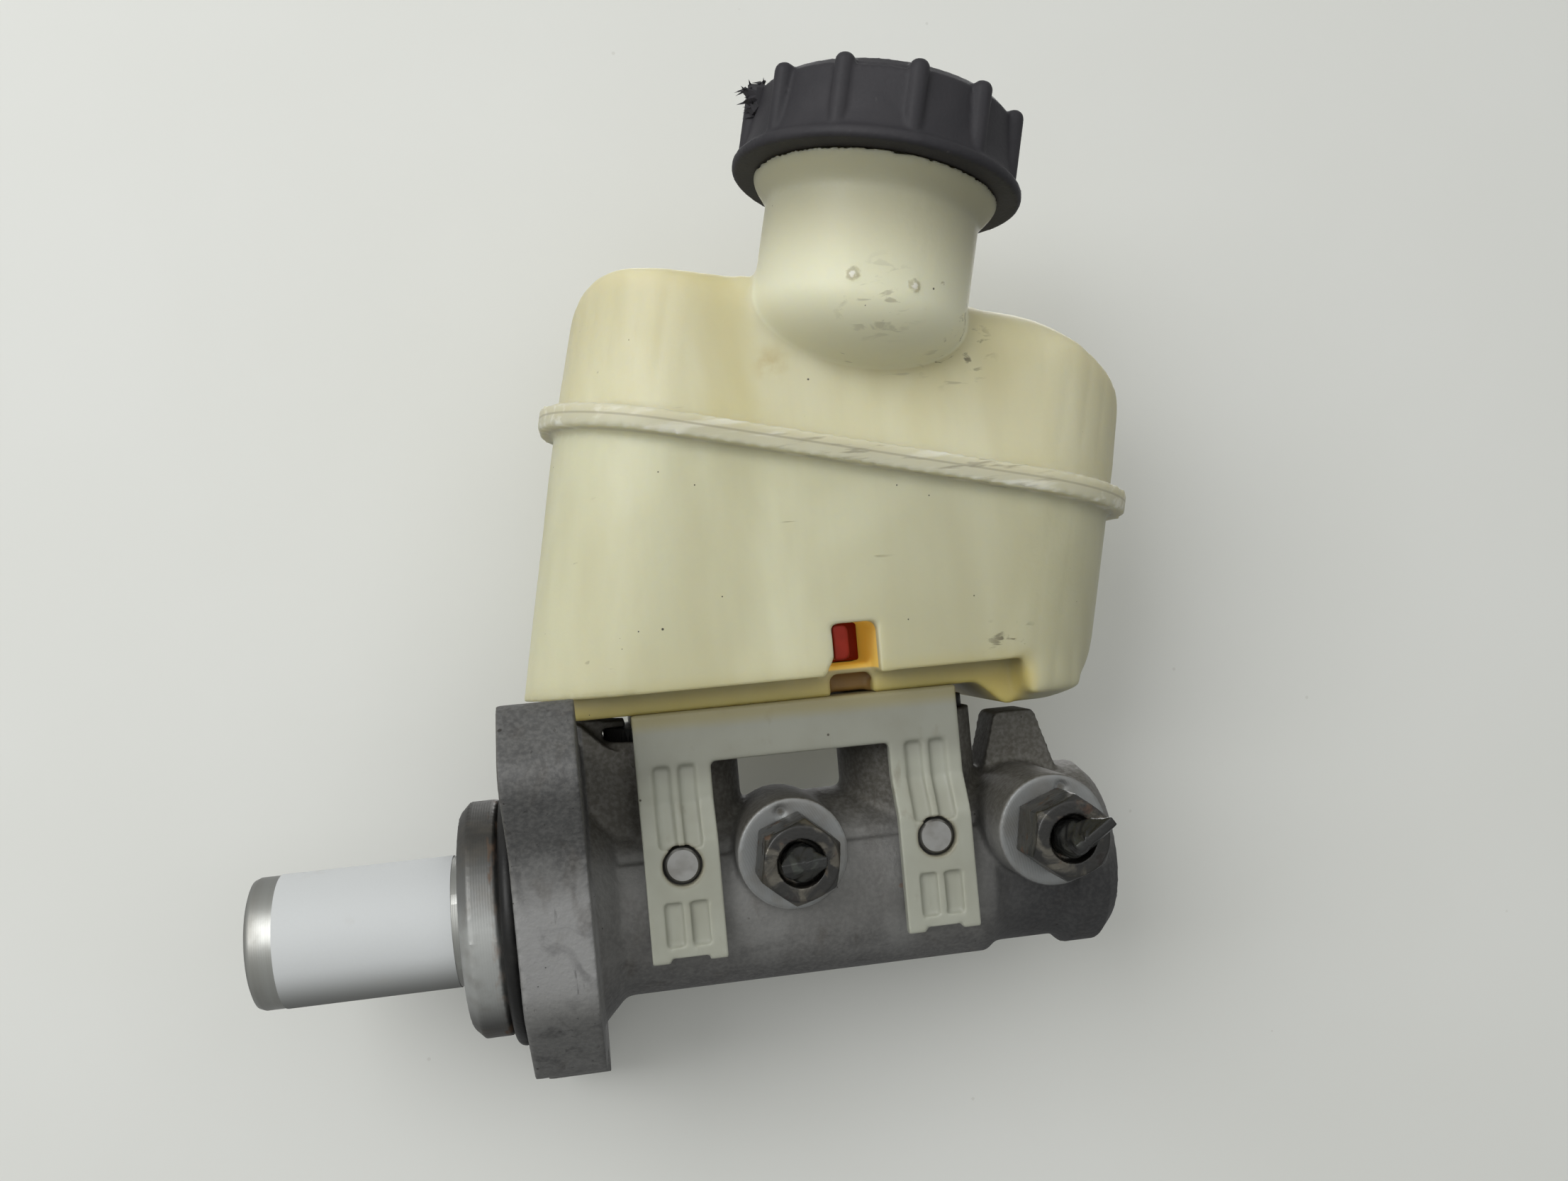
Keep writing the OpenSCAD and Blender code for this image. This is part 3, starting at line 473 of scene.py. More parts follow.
@dataclass(frozen=True)
class CastAluminium(Finish):
    """Matt die-cast aluminium with machined faces, oil stains and a little rust."""

    light: Color
    dark: Color
    flange: Color
    cut: Color
    flange_t: float
    boss_faces: tuple[tuple[float, float], ...]
    boss_z: float
    boss_r: float

    def dress(self, g: Graph) -> None:
        """Grain, oil film and dark patches on the casting, turning marks on the machined faces, and
        painted light, shade and reflection on flange, barrel, nose and pilot.

        Args:
            g: the graph of the material.
        """
        x, y, z = g.split(g.place())
        radius = (y * y + z * z) ** 0.5
        colour = g.mix(g.noise(18, 4, warp=0.6).step(0.3, 0.72), self.dark, self.light)
        on_flange = x.between(0.5, self.flange_t + 0.3, 0.6)
        colour = g.mix(on_flange * 0.6, colour, self.flange)
        # Painted light across the middle of the flange
        colour = g.mix(on_flange * z.between(-5, 5, 10) * 0.42, colour, paint(172, 172, 173))
        # Painted shade: the flange is darker at its top and foot, the barrel along its underside and at
        # the nose
        soot_and_shade = on_flange * (z.step(6, 18) * 0.62 + z.step(-12, -20) * 0.4)
        soot_and_shade = soot_and_shade.most((1 - on_flange) * z.step(-6, -17) * 0.55)
        soot_and_shade = soot_and_shade.most(x.step(88, 102) * z.step(14, -4) * 0.75)
        colour = g.mix(soot_and_shade, colour, paint(52, 52, 54))
        # Oil film and painted shade on the upper half, and in front of the flange under the clip
        film_and_shade = z.step(8, 17) * (1 - on_flange)
        colour = g.mix(film_and_shade * 0.72, colour, paint(66, 62, 51))
        patch = g.noise(7, 5, warp=1.0).step(0.5, 0.66)
        patchy = z.step(0, -14) * 0.2 + on_flange * 0.22 + 0.1
        colour = g.mix(patch * patchy, colour, paint(58, 57, 58))
        stain = g.noise(6, 5, g.stretched((1, 1, 0.45)), 0.5).step(0.58, 0.72)
        colour = g.mix(stain * 0.3, colour, paint(66, 58, 48))
        grit = g.noise(0.9, 3).step(0.35, 0.7)
        colour = g.mix(grit * 0.22, colour, paint(148, 147, 144))
        scratch = g.noise(1.3, 2, g.stretched((1, 1, 0.12), (0, 42, 0))).step(0.66, 0.74)
        scratch = scratch * (on_flange * 0.8 + 0.2)
        colour = g.mix(scratch * 0.45, colour, paint(46, 44, 42))
        speck = g.specks(4.6, 0.4, 0.3).most(g.specks(2.3, 0.2, 0.35))
        colour = g.mix(speck * 0.75, colour, paint(38, 33, 28))
        # Painted shade under the nose
        colour = g.mix(x.step(87, 95) * z.step(12, -4) * 0.6, colour, paint(36, 36, 39))
        # Machined: pilot and port faces
        cut = x.step(0.2, -0.2)
        for face_x, face_y in self.boss_faces:
            ring = g.spot((face_x, face_y, self.boss_z), self.boss_r - 0.4, 0.3)
            cut = cut.most(ring * y.step(face_y + 0.5, face_y + 0.25))
        pilot = x.step(0, -1)
        cut_and_reflection = g.mix(pilot * 0.5, self.cut, paint(84, 83, 79))
        # Painted shade at the pilot's top and foot, and a painted reflection, a bright band, across its
        # middle
        cut_and_reflection = g.mix(pilot * (z.step(8, 19) + z.step(-5, -14)) * 0.8, cut_and_reflection, paint(50, 48, 45))
        cut_and_reflection = g.mix(pilot * z.between(-10, 0, 9) * 0.8, cut_and_reflection, paint(186, 188, 186))
        colour = g.mix(cut * (1 - speck * 0.6) * 0.9, colour, cut_and_reflection)
        tarnish = g.noise(5, 4).step(0.45, 0.7) * cut
        colour = g.mix(tarnish * 0.3, colour, paint(104, 98, 88))
        rust = x.between(-4.8, -3.6, 0.6) * radius.step(20, 22)
        rust = rust * g.noise(2, 4, g.stretched((1, 0.4, 0.4))).step(0.5, 0.66) + g.specks(9, 0.5, 0.12)
        colour = g.mix(rust * 0.4, colour, paint(122, 84, 48))
        rings = (radius * (2 * math.pi / 0.55) + x * (2 * math.pi / 0.5)).sine() * 0.5 + 0.5
        pocks = g.noise(0.8, 3) * 0.8 + g.noise(3.4, 3) * 0.6 - speck * 0.4 - scratch * 0.3
        height = pocks * (1 - cut * 0.9) + rings * cut * 0.05
        rough = 0.56 + g.noise(4, 3) * 0.14 - cut * 0.16 + rust * 0.3 - patch * 0.06
        g.surface(
            Base_Color=colour, Metallic=0.36 + cut * 0.34 - rust * 0.3, Roughness=rough,
            Normal=g.bump(height, 0.24, 0.55), Specular_IOR_Level=0.4,
        )


@dataclass(frozen=True)
class TurnedMetal(Finish):
    """Metal turned on a lathe about the bore's axis."""

    tone: Color
    rough: float = 0.22

    def dress(self, g: Graph) -> None:
        """Fine turning lines round the bore's axis, with light stains.

        Args:
            g: the graph of the material.
        """
        x, y, z = g.split(g.place())
        radius = (y * y + z * z) ** 0.5
        lines = ((x + radius) * (2 * math.pi / 0.42)).sine() * 0.5 + 0.5
        band = g.noise(2.2, 2, g.stretched((1, 0.02, 0.02)))
        stain = g.noise(6, 4).step(0.5, 0.72)
        colour = g.mix(band.step(0.3, 0.7) * 0.4 + stain * 0.2, self.tone, paint(132, 130, 124))
        g.surface(
            Base_Color=colour, Metallic=1.0, Roughness=self.rough + band * 0.1 + stain * 0.08,
            Normal=g.bump(lines * 0.6 + band * 0.5, 0.03, 0.35),
        )


@dataclass(frozen=True)
class CapPlastic(Finish):
    """Charcoal plastic with a dry, slightly violet face."""

    tone: Color
    worn: Color

    def dress(self, g: Graph) -> None:
        """Fine grain, dusty patches and small pale nicks.

        Args:
            g: the graph of the material.
        """
        dust = g.noise(14, 5, warp=0.5).step(0.35, 0.8)
        nick = g.noise(1.4, 3, g.stretched((1, 1, 0.3))).step(0.72, 0.8) * g.noise(9, 2).step(0.5, 0.62)
        colour = g.mix(dust * 0.5, self.tone, self.worn)
        colour = g.mix(nick * 0.5, colour, paint(120, 118, 116))
        grain = g.noise(0.6, 3)
        g.surface(
            Base_Color=colour, Roughness=0.54 + grain * 0.12 - nick * 0.1,
            Normal=g.bump(grain * 0.6 + g.noise(5, 2) * 0.5, 0.12, 0.5), Specular_IOR_Level=0.3,
        )


@dataclass(frozen=True)
class ClipPlastic(Finish):
    """Pale, slightly see-through nylon of the clip."""

    tone: Color
    shade: Color
    pins: tuple[float, float]
    pin_z: float
    hole_r: float

    def dress(self, g: Graph) -> None:
        """Milky clouds, brown dirt round the pin holes, specks and a satin face.

        Args:
            g: the graph of the material.
        """
        x, _, z = g.split(g.place())
        cloud = g.noise(12, 3).step(0.3, 0.75)
        colour = g.mix(cloud * 0.7, self.tone, self.shade)
        dirt = g.noise(4, 4, g.stretched((1, 1, 0.5))).step(0.6, 0.76) * 0.35
        for pin_x in self.pins:
            off = ((x - pin_x) * (x - pin_x) + (z - self.pin_z) * (z - self.pin_z)) ** 0.5
            dirt = dirt.most(off.step(self.hole_r + 0.8, self.hole_r - 0.2) * 0.6)
        colour = g.mix(dirt, colour, paint(104, 94, 68))
        # Painted shade: the bar is darker and greyer than the legs
        colour = g.mix(z.step(23, 28) * 0.5, colour, paint(122, 122, 112))
        # Painted reflection: a yellowish strip along the clip's top, from the reservoir's amber foot
        colour = g.mix(z.step(34, 37) * 0.7, colour, paint(150, 141, 98))
        colour = g.mix(g.specks(6, 0.3, 0.25) * 0.85, colour, paint(52, 44, 34))
        g.surface(
            Base_Color=colour, Roughness=0.42 + cloud * 0.12,
            Normal=g.bump(g.noise(3, 3) * 0.6 + g.noise(0.6, 2) * 0.2, 0.14, 0.4),
            Subsurface_Weight=0.5, Subsurface_Radius=(1.0, 0.97, 0.85), Subsurface_Scale=2 * MM,
            Specular_IOR_Level=0.4,
        )


@dataclass(frozen=True)
class Rubber(Finish):
    """Black rubber with a faint bloom."""

    tone: Color

    def dress(self, g: Graph) -> None:
        """Grey bloom and fine pores.

        Args:
            g: the graph of the material.
        """
        bloom = g.noise(5, 4).step(0.45, 0.8)
        g.surface(
            Base_Color=g.mix(bloom * 0.5, self.tone, paint(44, 42, 39)),
            Roughness=0.42 + bloom * 0.25, Normal=g.bump(g.noise(0.7, 3), 0.08, 0.5),
            Specular_IOR_Level=0.3,
        )


@dataclass(frozen=True)
class PlatedSteel(Finish):
    """Zinc-plated steel under grime, with rust where the plating went."""

    tone: Color
    grime: float
    rust: float

    def dress(self, g: Graph) -> None:
        """Clouded plating, black grime and rust.

        Args:
            g: the graph of the material.
        """
        soot_and_shade = g.noise(5, 5, warp=0.8)
        black = soot_and_shade.step(0.62 - self.grime * 0.3, 0.72 - self.grime * 0.25)
        brown = g.noise(2.6, 4).step(0.66 - self.rust * 0.22, 0.76 - self.rust * 0.2)
        cloud = g.noise(3, 3)
        colour = g.mix(cloud.step(0.3, 0.7) * 0.5, self.tone, paint(70, 66, 60))
        colour = g.mix(brown * 0.7, colour, paint(80, 52, 32))
        colour = g.mix(black * 0.92, colour, paint(16, 16, 16))
        g.surface(
            Base_Color=colour, Metallic=0.9 - black * 0.75 - brown * 0.6,
            Roughness=0.3 + brown * 0.4 + cloud * 0.12 - black * 0.05,
            Normal=g.bump(g.noise(0.9, 4) * 0.6 + black * 0.3, 0.16, 0.55),
        )


@dataclass(frozen=True)
class Paper(Finish):
    """Blank white label paper."""

    tone: Color

    def dress(self, g: Graph) -> None:
        """Fibres, soft creases and a little dirt at the edges.

        Args:
            g: the graph of the material.
        """
        fibre = g.noise(0.5, 3)
        crease = g.noise(9, 2, g.stretched((0.5, 1, 1), (20, 0, 0)))
        soil = g.noise(7, 4).step(0.6, 0.8)
        # Painted shade: the underside is darker
        _, _, z = g.split(g.place())
        tone = g.mix(z.step(-3, -12) * 0.85, self.tone, paint(106, 107, 104))
        g.surface(
            Base_Color=g.mix(soil * 0.25 + fibre * 0.08, tone, paint(172, 168, 158)),
            Roughness=0.62 + fibre * 0.1, Normal=g.bump(crease * 0.8 + fibre * 0.1, 0.2, 0.4),
        )


@dataclass(frozen=True)
class MouldedPlastic(Finish):
    """Plain moulded plastic of a small inner piece."""

    tone: Color
    shade: Color
    rough: float = 0.4

    def dress(self, g: Graph) -> None:
        """Soft flow clouds and fine grain.

        Args:
            g: the graph of the material.
        """
        flow = g.noise(6, 3, warp=1.0).step(0.3, 0.75)
        g.surface(
            Base_Color=g.mix(flow * 0.6, self.tone, self.shade), Roughness=self.rough + flow * 0.12,
            Normal=g.bump(g.noise(0.8, 3), 0.06, 0.5), Specular_IOR_Level=0.25,
        )


@dataclass(frozen=True)
class DrawnMetal(Finish):
    """Drawn or rolled metal, such as spring wire, brass blades and the screw."""

    tone: Color
    shade: Color
    rough: float = 0.3

    def dress(self, g: Graph) -> None:
        """Drawing streaks and a light tarnish.

        Args:
            g: the graph of the material.
        """
        streak = g.noise(1.2, 3, g.stretched((0.15, 1, 1)))
        tarnish = g.noise(4, 4).step(0.4, 0.75)
        g.surface(
            Base_Color=g.mix(tarnish * 0.6, self.tone, self.shade), Metallic=0.95,
            Roughness=self.rough + streak * 0.14, Normal=g.bump(streak, 0.04, 0.5),
        )


@dataclass(frozen=True)
class ReedGlass(Finish):
    """Greenish glass of the reed switch."""

    tone: Color

    def dress(self, g: Graph) -> None:
        """Glass with slight ripples and a smoky cloud.

        Args:
            g: the graph of the material.
        """
        ripple = g.noise(2, 2)
        g.surface(
            Base_Color=g.mix(ripple.step(0.4, 0.8) * 0.4, self.tone, paint(120, 140, 116)),
            Roughness=0.08 + ripple * 0.08, Transmission_Weight=0.6,
            Normal=g.bump(ripple, 0.03, 0.4),
        )


class Shop(Enum):
    """The finishes that the pieces are given."""

    CASTING = CastAluminium(
        "cast_aluminium", light=paint(130, 130, 128), dark=paint(108, 107, 105),
        flange=paint(124, 124, 122), cut=paint(128, 130, 130), flange_t=13.6,
        boss_faces=((51.8, -22.8), (100.8, -29.3)), boss_z=9.7, boss_r=10.6,
    )
    RESERVOIR = ReservoirPlastic(
        "reservoir_plastic", tub=(paint(216, 214, 184), paint(198, 195, 162)),
        dome=(paint(222, 217, 186), paint(208, 200, 157)),
        # The neck's pair: painted light at its foot, then painted shade up under the cap
        neck=(paint(232, 229, 200), paint(160, 158, 135)),
        foot=(67.57, -24, 84.72), axis=(0.22155, 0.0, 0.97515),
        neck_r=20.5, neck_root=27, neck_cup=11,
        gates=((68.77, -43.8, 113.63), (79.74, -43.57, 110.94)),
    )
    PIN = DrawnMetal("clip_pin_end", paint(146, 146, 144), paint(112, 109, 104), 0.42)
    PISTON = TurnedMetal("turned_piston", paint(160, 161, 158), 0.36)
    CAP = CapPlastic("cap_charcoal", paint(40, 39, 43), paint(58, 56, 59))
    CLIP = ClipPlastic(
        "clip_nylon", paint(166, 168, 156), paint(150, 150, 136), pins=(30.9, 79.9), pin_z=9.7, hole_r=3.8
    )
    SEAL = Rubber("seal_rubber", paint(10, 10, 10))
    GROMMET = Rubber("grommet_rubber", paint(26, 26, 26))
    NUT = PlatedSteel("tube_nut_steel", paint(98, 95, 88), 0.72, 0.4)
    TUBE = PlatedSteel("crushed_tube_steel", paint(70, 73, 70), 0.95, 0.05)
    PAPER = Paper("label_paper", paint(204, 207, 208))
    SPRING = DrawnMetal("spring_wire", paint(120, 120, 124), paint(84, 82, 80))
    RETAINER = DrawnMetal("pressed_retainer", paint(164, 162, 156), paint(120, 116, 108))
    BRASS = DrawnMetal("terminal_brass", paint(206, 178, 104), paint(160, 128, 70), 0.25)
    MAGNET = DrawnMetal("float_magnet_ferrite", paint(62, 60, 60), paint(44, 42, 42), 0.45)
    GUIDE = MouldedPlastic("guide_nylon", paint(214, 208, 190), paint(196, 188, 166))
    SENSOR = MouldedPlastic("sensor_red", paint(132, 28, 5), paint(106, 20, 3), 0.5)
    FLOAT = MouldedPlastic("float_foam", paint(70, 66, 62), paint(52, 48, 46), 0.6)
    GLASS = ReedGlass("reed_glass", paint(196, 210, 190))


# Mesh work


def new_piece(name: str, mesh: bpy.types.Mesh) -> bpy.types.Object:
    """Puts a mesh in the scene.

    Args:
        name: the piece's name.
        mesh: its mesh.

    Returns:
        The new object.
    """
    piece = bpy.data.objects.new(name, mesh)
    bpy.context.scene.collection.objects.link(piece)
    return piece


def settled(work: bmesh.types.BMesh, name: str) -> bpy.types.Mesh:
    """Turns an edit mesh into a plain one and frees it.

    Args:
        work: the edit mesh.
        name: the new mesh's name.

    Returns:
        The plain mesh.
    """
    mesh = bpy.data.meshes.new(name)
    work.to_mesh(mesh)
    work.free()
    return mesh


def merged_copy(node: str) -> bpy.types.Mesh:
    """Copies a CAD node's mesh and joins its loose triangles.

    Args:
        node: the CAD node.

    Returns:
        The new mesh.
    """
    work = bmesh.new()
    work.from_mesh(frame["nodes"][node].data)
    bmesh.ops.remove_doubles(work, verts=work.verts, dist=WELD)
    mesh = settled(work, node + "_copy")
    mesh.materials.clear()
    return mesh


def finished(piece: bpy.types.Object) -> bpy.types.Mesh:
    """Turns a piece and its modifiers into one plain mesh and takes the modifiers off.

    Args:
        piece: the piece, whose mesh is exchanged.

    Returns:
        The new mesh.
    """
    graph = bpy.context.evaluated_depsgraph_get()
    mesh = bpy.data.meshes.new_from_object(piece.evaluated_get(graph), depsgraph=graph)
    piece.modifiers.clear()
    piece.data = mesh
    return mesh


def points_of(mesh: bpy.types.Mesh) -> np.ndarray:
    """Reads the points of a mesh.

    Args:
        mesh: the mesh.

    Returns:
        Its points in metres, one row each.
    """
    points = np.empty(len(mesh.vertices) * 3)
    mesh.vertices.foreach_get("co", points)
    return points.reshape(-1, 3)


def move_points(mesh: bpy.types.Mesh, points: np.ndarray) -> None:
    """Puts the mesh's points in new places."""
    mesh.vertices.foreach_set("co", np.ravel(points))
    mesh.update()


def moved(points: np.ndarray, change: Matrix) -> np.ndarray:
    """Moves points, one row each, by a matrix."""
    return (np.c_[points, np.ones(len(points))] @ np.array(change).T)[:, :3]


def relax(
    mesh: bpy.types.Mesh, rounds: int, pushes: Sequence[float] = (0.5, -0.52),
    hollows_only: bool = False, where: Where | None = None,
) -> None:
    """Evens out a fine mesh, rounds its edges or grows fillets in its inner corners.

    Args:
        mesh: a fine, even mesh.
        rounds: how often each point moves towards the mean of its neighbours.
        pushes: share of the way in each move of a round; a move back keeps the mesh from shrinking.
        hollows_only: moves only points that lie below their neighbours.
        where: takes points in metres and gives the share of the move for each.
    """
    points = points_of(mesh)
    count = len(points)
    edges = np.empty(len(mesh.edges) * 2, np.int64)
    mesh.edges.foreach_get("vertices", edges)
    other = edges.reshape(-1, 2)[:, ::-1].ravel()
    links = np.maximum(np.bincount(edges, minlength=count), 1)
    share = np.ones(count) if where is None else where(points)
    normals = np.empty(count * 3, np.float32)
    for push in tuple(pushes) * rounds:
        means = [np.bincount(edges, points[other, k], count) / links for k in range(3)]
        pull = np.stack(means, axis=1) - points
        step = share * push
        if hollows_only:
            move_points(mesh, points)
            mesh.vertex_normals.foreach_get("vector", normals)
            step = step * (np.einsum("ij,ij->i", pull, normals.reshape(-1, 3)) > 0)
        points = points + pull * step[:, None]
    move_points(mesh, points)


def soft_skin(
    piece: bpy.types.Object, cell: float, polish: int = 2, fillet: int = 0, where: Where | None = None,
    carve: Where | None = None, blunt: int = 0, edges: Where | None = None,
) -> None:
    """Gives a piece one even skin with soft edges, as a casting or moulding has.

    Args:
        piece: the piece, whose mesh is exchanged; it keeps its box.
        cell: size of the skin's faces in metres.
        polish: rounds of evening out.
        fillet: rounds of growing fillets in inner corners.
        where: share of the fillet at each point.
        carve: takes the skin's points and gives them with small marks pressed in.
        blunt: rounds of rounding off outer edges.
        edges: share of the rounding at each point.
    """
    first = points_of(piece.data)
    skin = piece.modifiers.new("skin", "REMESH")
    skin.mode = "VOXEL"
    skin.voxel_size = cell
    mesh = finished(piece)
    relax(mesh, blunt, (0.5,), where=edges)
    relax(mesh, fillet, (0.5,), hollows_only=True, where=where)
    relax(mesh, polish)
    points = points_of(mesh) if carve is None else carve(points_of(mesh))
    move_points(mesh, np.clip(points, first.min(axis=0), first.max(axis=0)))
    triangles = sum(len(face.vertices) - 2 for face in mesh.polygons)
    if triangles > MOST_TRIANGLES:
        thin = piece.modifiers.new("thin", "DECIMATE")
        thin.ratio = MOST_TRIANGLES / triangles
        mesh = finished(piece)
    mesh.shade_smooth()


def pressed(
    points: np.ndarray, centre: Sequence[float], radius: float, way: Sequence[float]
) -> np.ndarray:
    """Presses a round mark into fine points, or pulls one out.

    Args:
        points: the points in metres.
        centre: the mark's middle.
        radius: its radius.
        way: how far and in which direction its middle moves.

    Returns:
        The moved points.
    """
    away = np.linalg.norm(points - np.array(centre), axis=1) / radius
    return points + np.clip(1 - away ** 2, 0, 1)[:, None] * np.array(way)


def sunk(mesh: bpy.types.Mesh, point: Vector, normal: Vector, depth: float) -> bpy.types.Mesh:
    """Pushes the face of a mesh that lies on a plane into its neighbour, so that the two join.

    Args:
        mesh: the mesh.
        point: a point on the plane.
        normal: the plane's normal, away from the neighbour.
        depth: how far the face goes.

    Returns:
        The same mesh.
    """
    points = points_of(mesh)
    flush = 0.03 * MM
    lies = np.abs((points - np.array(point)) @ np.array(normal)) < flush
    points[lies] -= np.array(normal) * depth
    move_points(mesh, points)
    return mesh


def crisp_skin(piece: bpy.types.Object, angle: float = 32) -> None:
    """Shades a piece smooth, except over edges sharper than an angle in degrees."""
    piece.data.shade_smooth()
    piece.data.set_sharp_from_angle(angle=math.radians(angle))


def lathe(profile: Sequence[tuple[float, float]], turns: int, place: Matrix) -> bpy.types.Mesh:
    """Turns a closed outline about an axis.

    Args:
        profile: points as radius and height, off the axis.
        turns: number of faces round the axis.
        place: where the axis' frame is; the axis is its Z.

    Returns:
        The closed mesh.
    """
    work = bmesh.new()
    angles = [2 * math.pi * i / turns for i in range(turns)]
    rings = [
        [work.verts.new(place @ Vector((r * math.cos(a), r * math.sin(a), height))) for a in angles]
        for r, height in profile
    ]
    for low, high in zip(rings, rings[1:] + rings[:1]):
        for i in range(turns):
            j = (i + 1) % turns
            work.faces.new((low[i], low[j], high[j], high[i]))
    bmesh.ops.recalc_face_normals(work, faces=work.faces)
    return settled(work, "turned")


def prism(outline: Sequence[tuple[float, float]], span: tuple[float, float]) -> bpy.types.Mesh:
    """Draws a closed outline out along Y.

    Args:
        outline: points as x and z.
        span: y of both ends.

    Returns:
        The closed mesh.
    """
    work = bmesh.new()
    near, far = ([work.verts.new((x, y, z)) for x, z in outline] for y in span)
    for i in range(len(outline)):
        j = (i + 1) % len(outline)
        work.faces.new((near[i], near[j], far[j], far[i]))
    work.faces.new(near)
    work.faces.new(far)
    bmesh.ops.recalc_face_normals(work, faces=work.faces)
    return settled(work, "drawn")


def joined(name: str, meshes: Sequence[bpy.types.Mesh]) -> bpy.types.Object:
    """Puts several meshes in one piece.

    Args:
        name: the piece's name.
        meshes: its meshes.

    Returns:
        The piece.
    """
    work = bmesh.new()
    for mesh in meshes:
        work.from_mesh(mesh)
    return new_piece(name, settled(work, name))


# Geometry Nodes


@dataclass(frozen=True)
class Recipe:
    """A Geometry Nodes tree with named inputs; each kind says which shape it makes."""

    SIZES: ClassVar[tuple[str, ...]] = ()
    COUNTS: ClassVar[tuple[str, ...]] = ()
    name: str

    def shape(self, g: Graph) -> Signal:
        """Adds the nodes that make the shape."""
        raise NotImplementedError

    def tree(self) -> bpy.types.NodeTree:
        """Builds the tree, from its named inputs to Realize Instances and Set Material.

        Returns:
            The tree.
        """
        tree = bpy.data.node_groups.new(self.name, "GeometryNodeTree")
        face = tree.interface
        face.new_socket("Geometry", in_out="OUTPUT", socket_type="NodeSocketGeometry")
        for kind, names in (("Float", self.SIZES), ("Int", self.COUNTS), ("Material", ("Finish",))):
            for name in names:
                face.new_socket(name, in_out="INPUT", socket_type="NodeSocket" + kind)
        g = Graph(tree)
        made = g.node("GeometryNodeRealizeInstances", inputs={"Geometry": self.shape(g)})
        made = g.node("GeometryNodeSetMaterial", inputs={"Geometry": made, "Material": g.given("Finish")})
        g.node("NodeGroupOutput", inputs={"Geometry": made})
        return tree


@dataclass(frozen=True)
class CoilRecipe(Recipe):
    """Wire or a ridge that winds round an axis."""

    SIZES: ClassVar[tuple[str, ...]] = (
        "Radius", "Length", "Turns", "Wire Width", "Wire Height", "Closed Ends",
    )
    steps: int = 36
    sides: int = 14
    taper: float = 12.0

    def shape(self, g: Graph) -> Signal:
        """Sweeps a ring along a spiral whose ends may close up, and rounds the wire's ends.

        Args:
            g: the tree's graph.

        Returns:
            The wire.
        """
        radius, length = g.given("Radius"), g.given("Length")
        path = g.node("GeometryNodeCurveSpiral", inputs={
            "Resolution": self.steps, "Rotations": g.given("Turns"), "Start Radius": radius,
            "End Radius": radius, "Height": length,
        })
        along = g.node("GeometryNodeSplineParameter")
        shift = g.upward((along.step(0.0, 1.0) - along) * g.given("Closed Ends") * length)
        path = g.node("GeometryNodeSetPosition", inputs={"Geometry": path, "Offset": shift})
        ring = g.node("GeometryNodeCurvePrimitiveCircle", inputs={
            "Resolution": self.sides, "Radius": 0.5,
        })
        size = g.node("ShaderNodeCombineXYZ", inputs={
            "X": g.given("Wire Width"), "Y": g.given("Wire Height"), "Z": 1.0,
        })
        ring = g.node("GeometryNodeTransform", inputs={"Geometry": ring, "Scale": size})
        ends = (along - 0.5) * (along - 0.5) * 4.0
        wire = g.swept(path, ring, (1.0 - ends ** self.taper) ** 0.5)
        return g.node("GeometryNodeSetShadeSmooth", inputs={"Geometry": wire})


@dataclass(frozen=True)
class RibRecipe(Recipe):
    """Domed ribs that stand in a ring round an axis."""

    SIZES: ClassVar[tuple[str, ...]] = ("Ring Radius", "First Angle", "Rib Radius", "Low", "High")
    COUNTS: ClassVar[tuple[str, ...]] = ("Count",)
    steps: int = 40
    sides: int = 20
    domed: float = 0.12

    def shape(self, g: Graph) -> Signal:
        """Stands a round rib with a domed top on each point of a ring.

        Args:
            g: the tree's graph.

        Returns:
            The ribs.
        """
        ring = g.node("GeometryNodeMeshCircle", inputs={
            "Vertices": g.given("Count"), "Radius": g.given("Ring Radius"),
        })
        turn = g.upward(g.given("First Angle"))
        ring = g.node("GeometryNodeTransform", inputs={"Geometry": ring, "Rotation": turn})
        foot, head = g.upward(g.given("Low")), g.upward(g.given("High"))
        spine = g.node("GeometryNodeCurvePrimitiveLine", inputs={"Start": foot, "End": head})
        spine = g.node("GeometryNodeResampleCurve", inputs={"Curve": spine, "Count": self.steps})
        along = g.node("GeometryNodeSplineParameter")
        dome = ((along - (1 - self.domed)) / self.domed).most(0.0)
        width = (1.0 - dome * dome).most(0.0) ** 0.5
        outline = g.node("GeometryNodeCurvePrimitiveCircle", inputs={
            "Resolution": self.sides, "Radius": g.given("Rib Radius"),
        })
        rib = g.swept(spine, outline, width)
        return g.node("GeometryNodeInstanceOnPoints", inputs={"Points": ring, "Instance": rib})


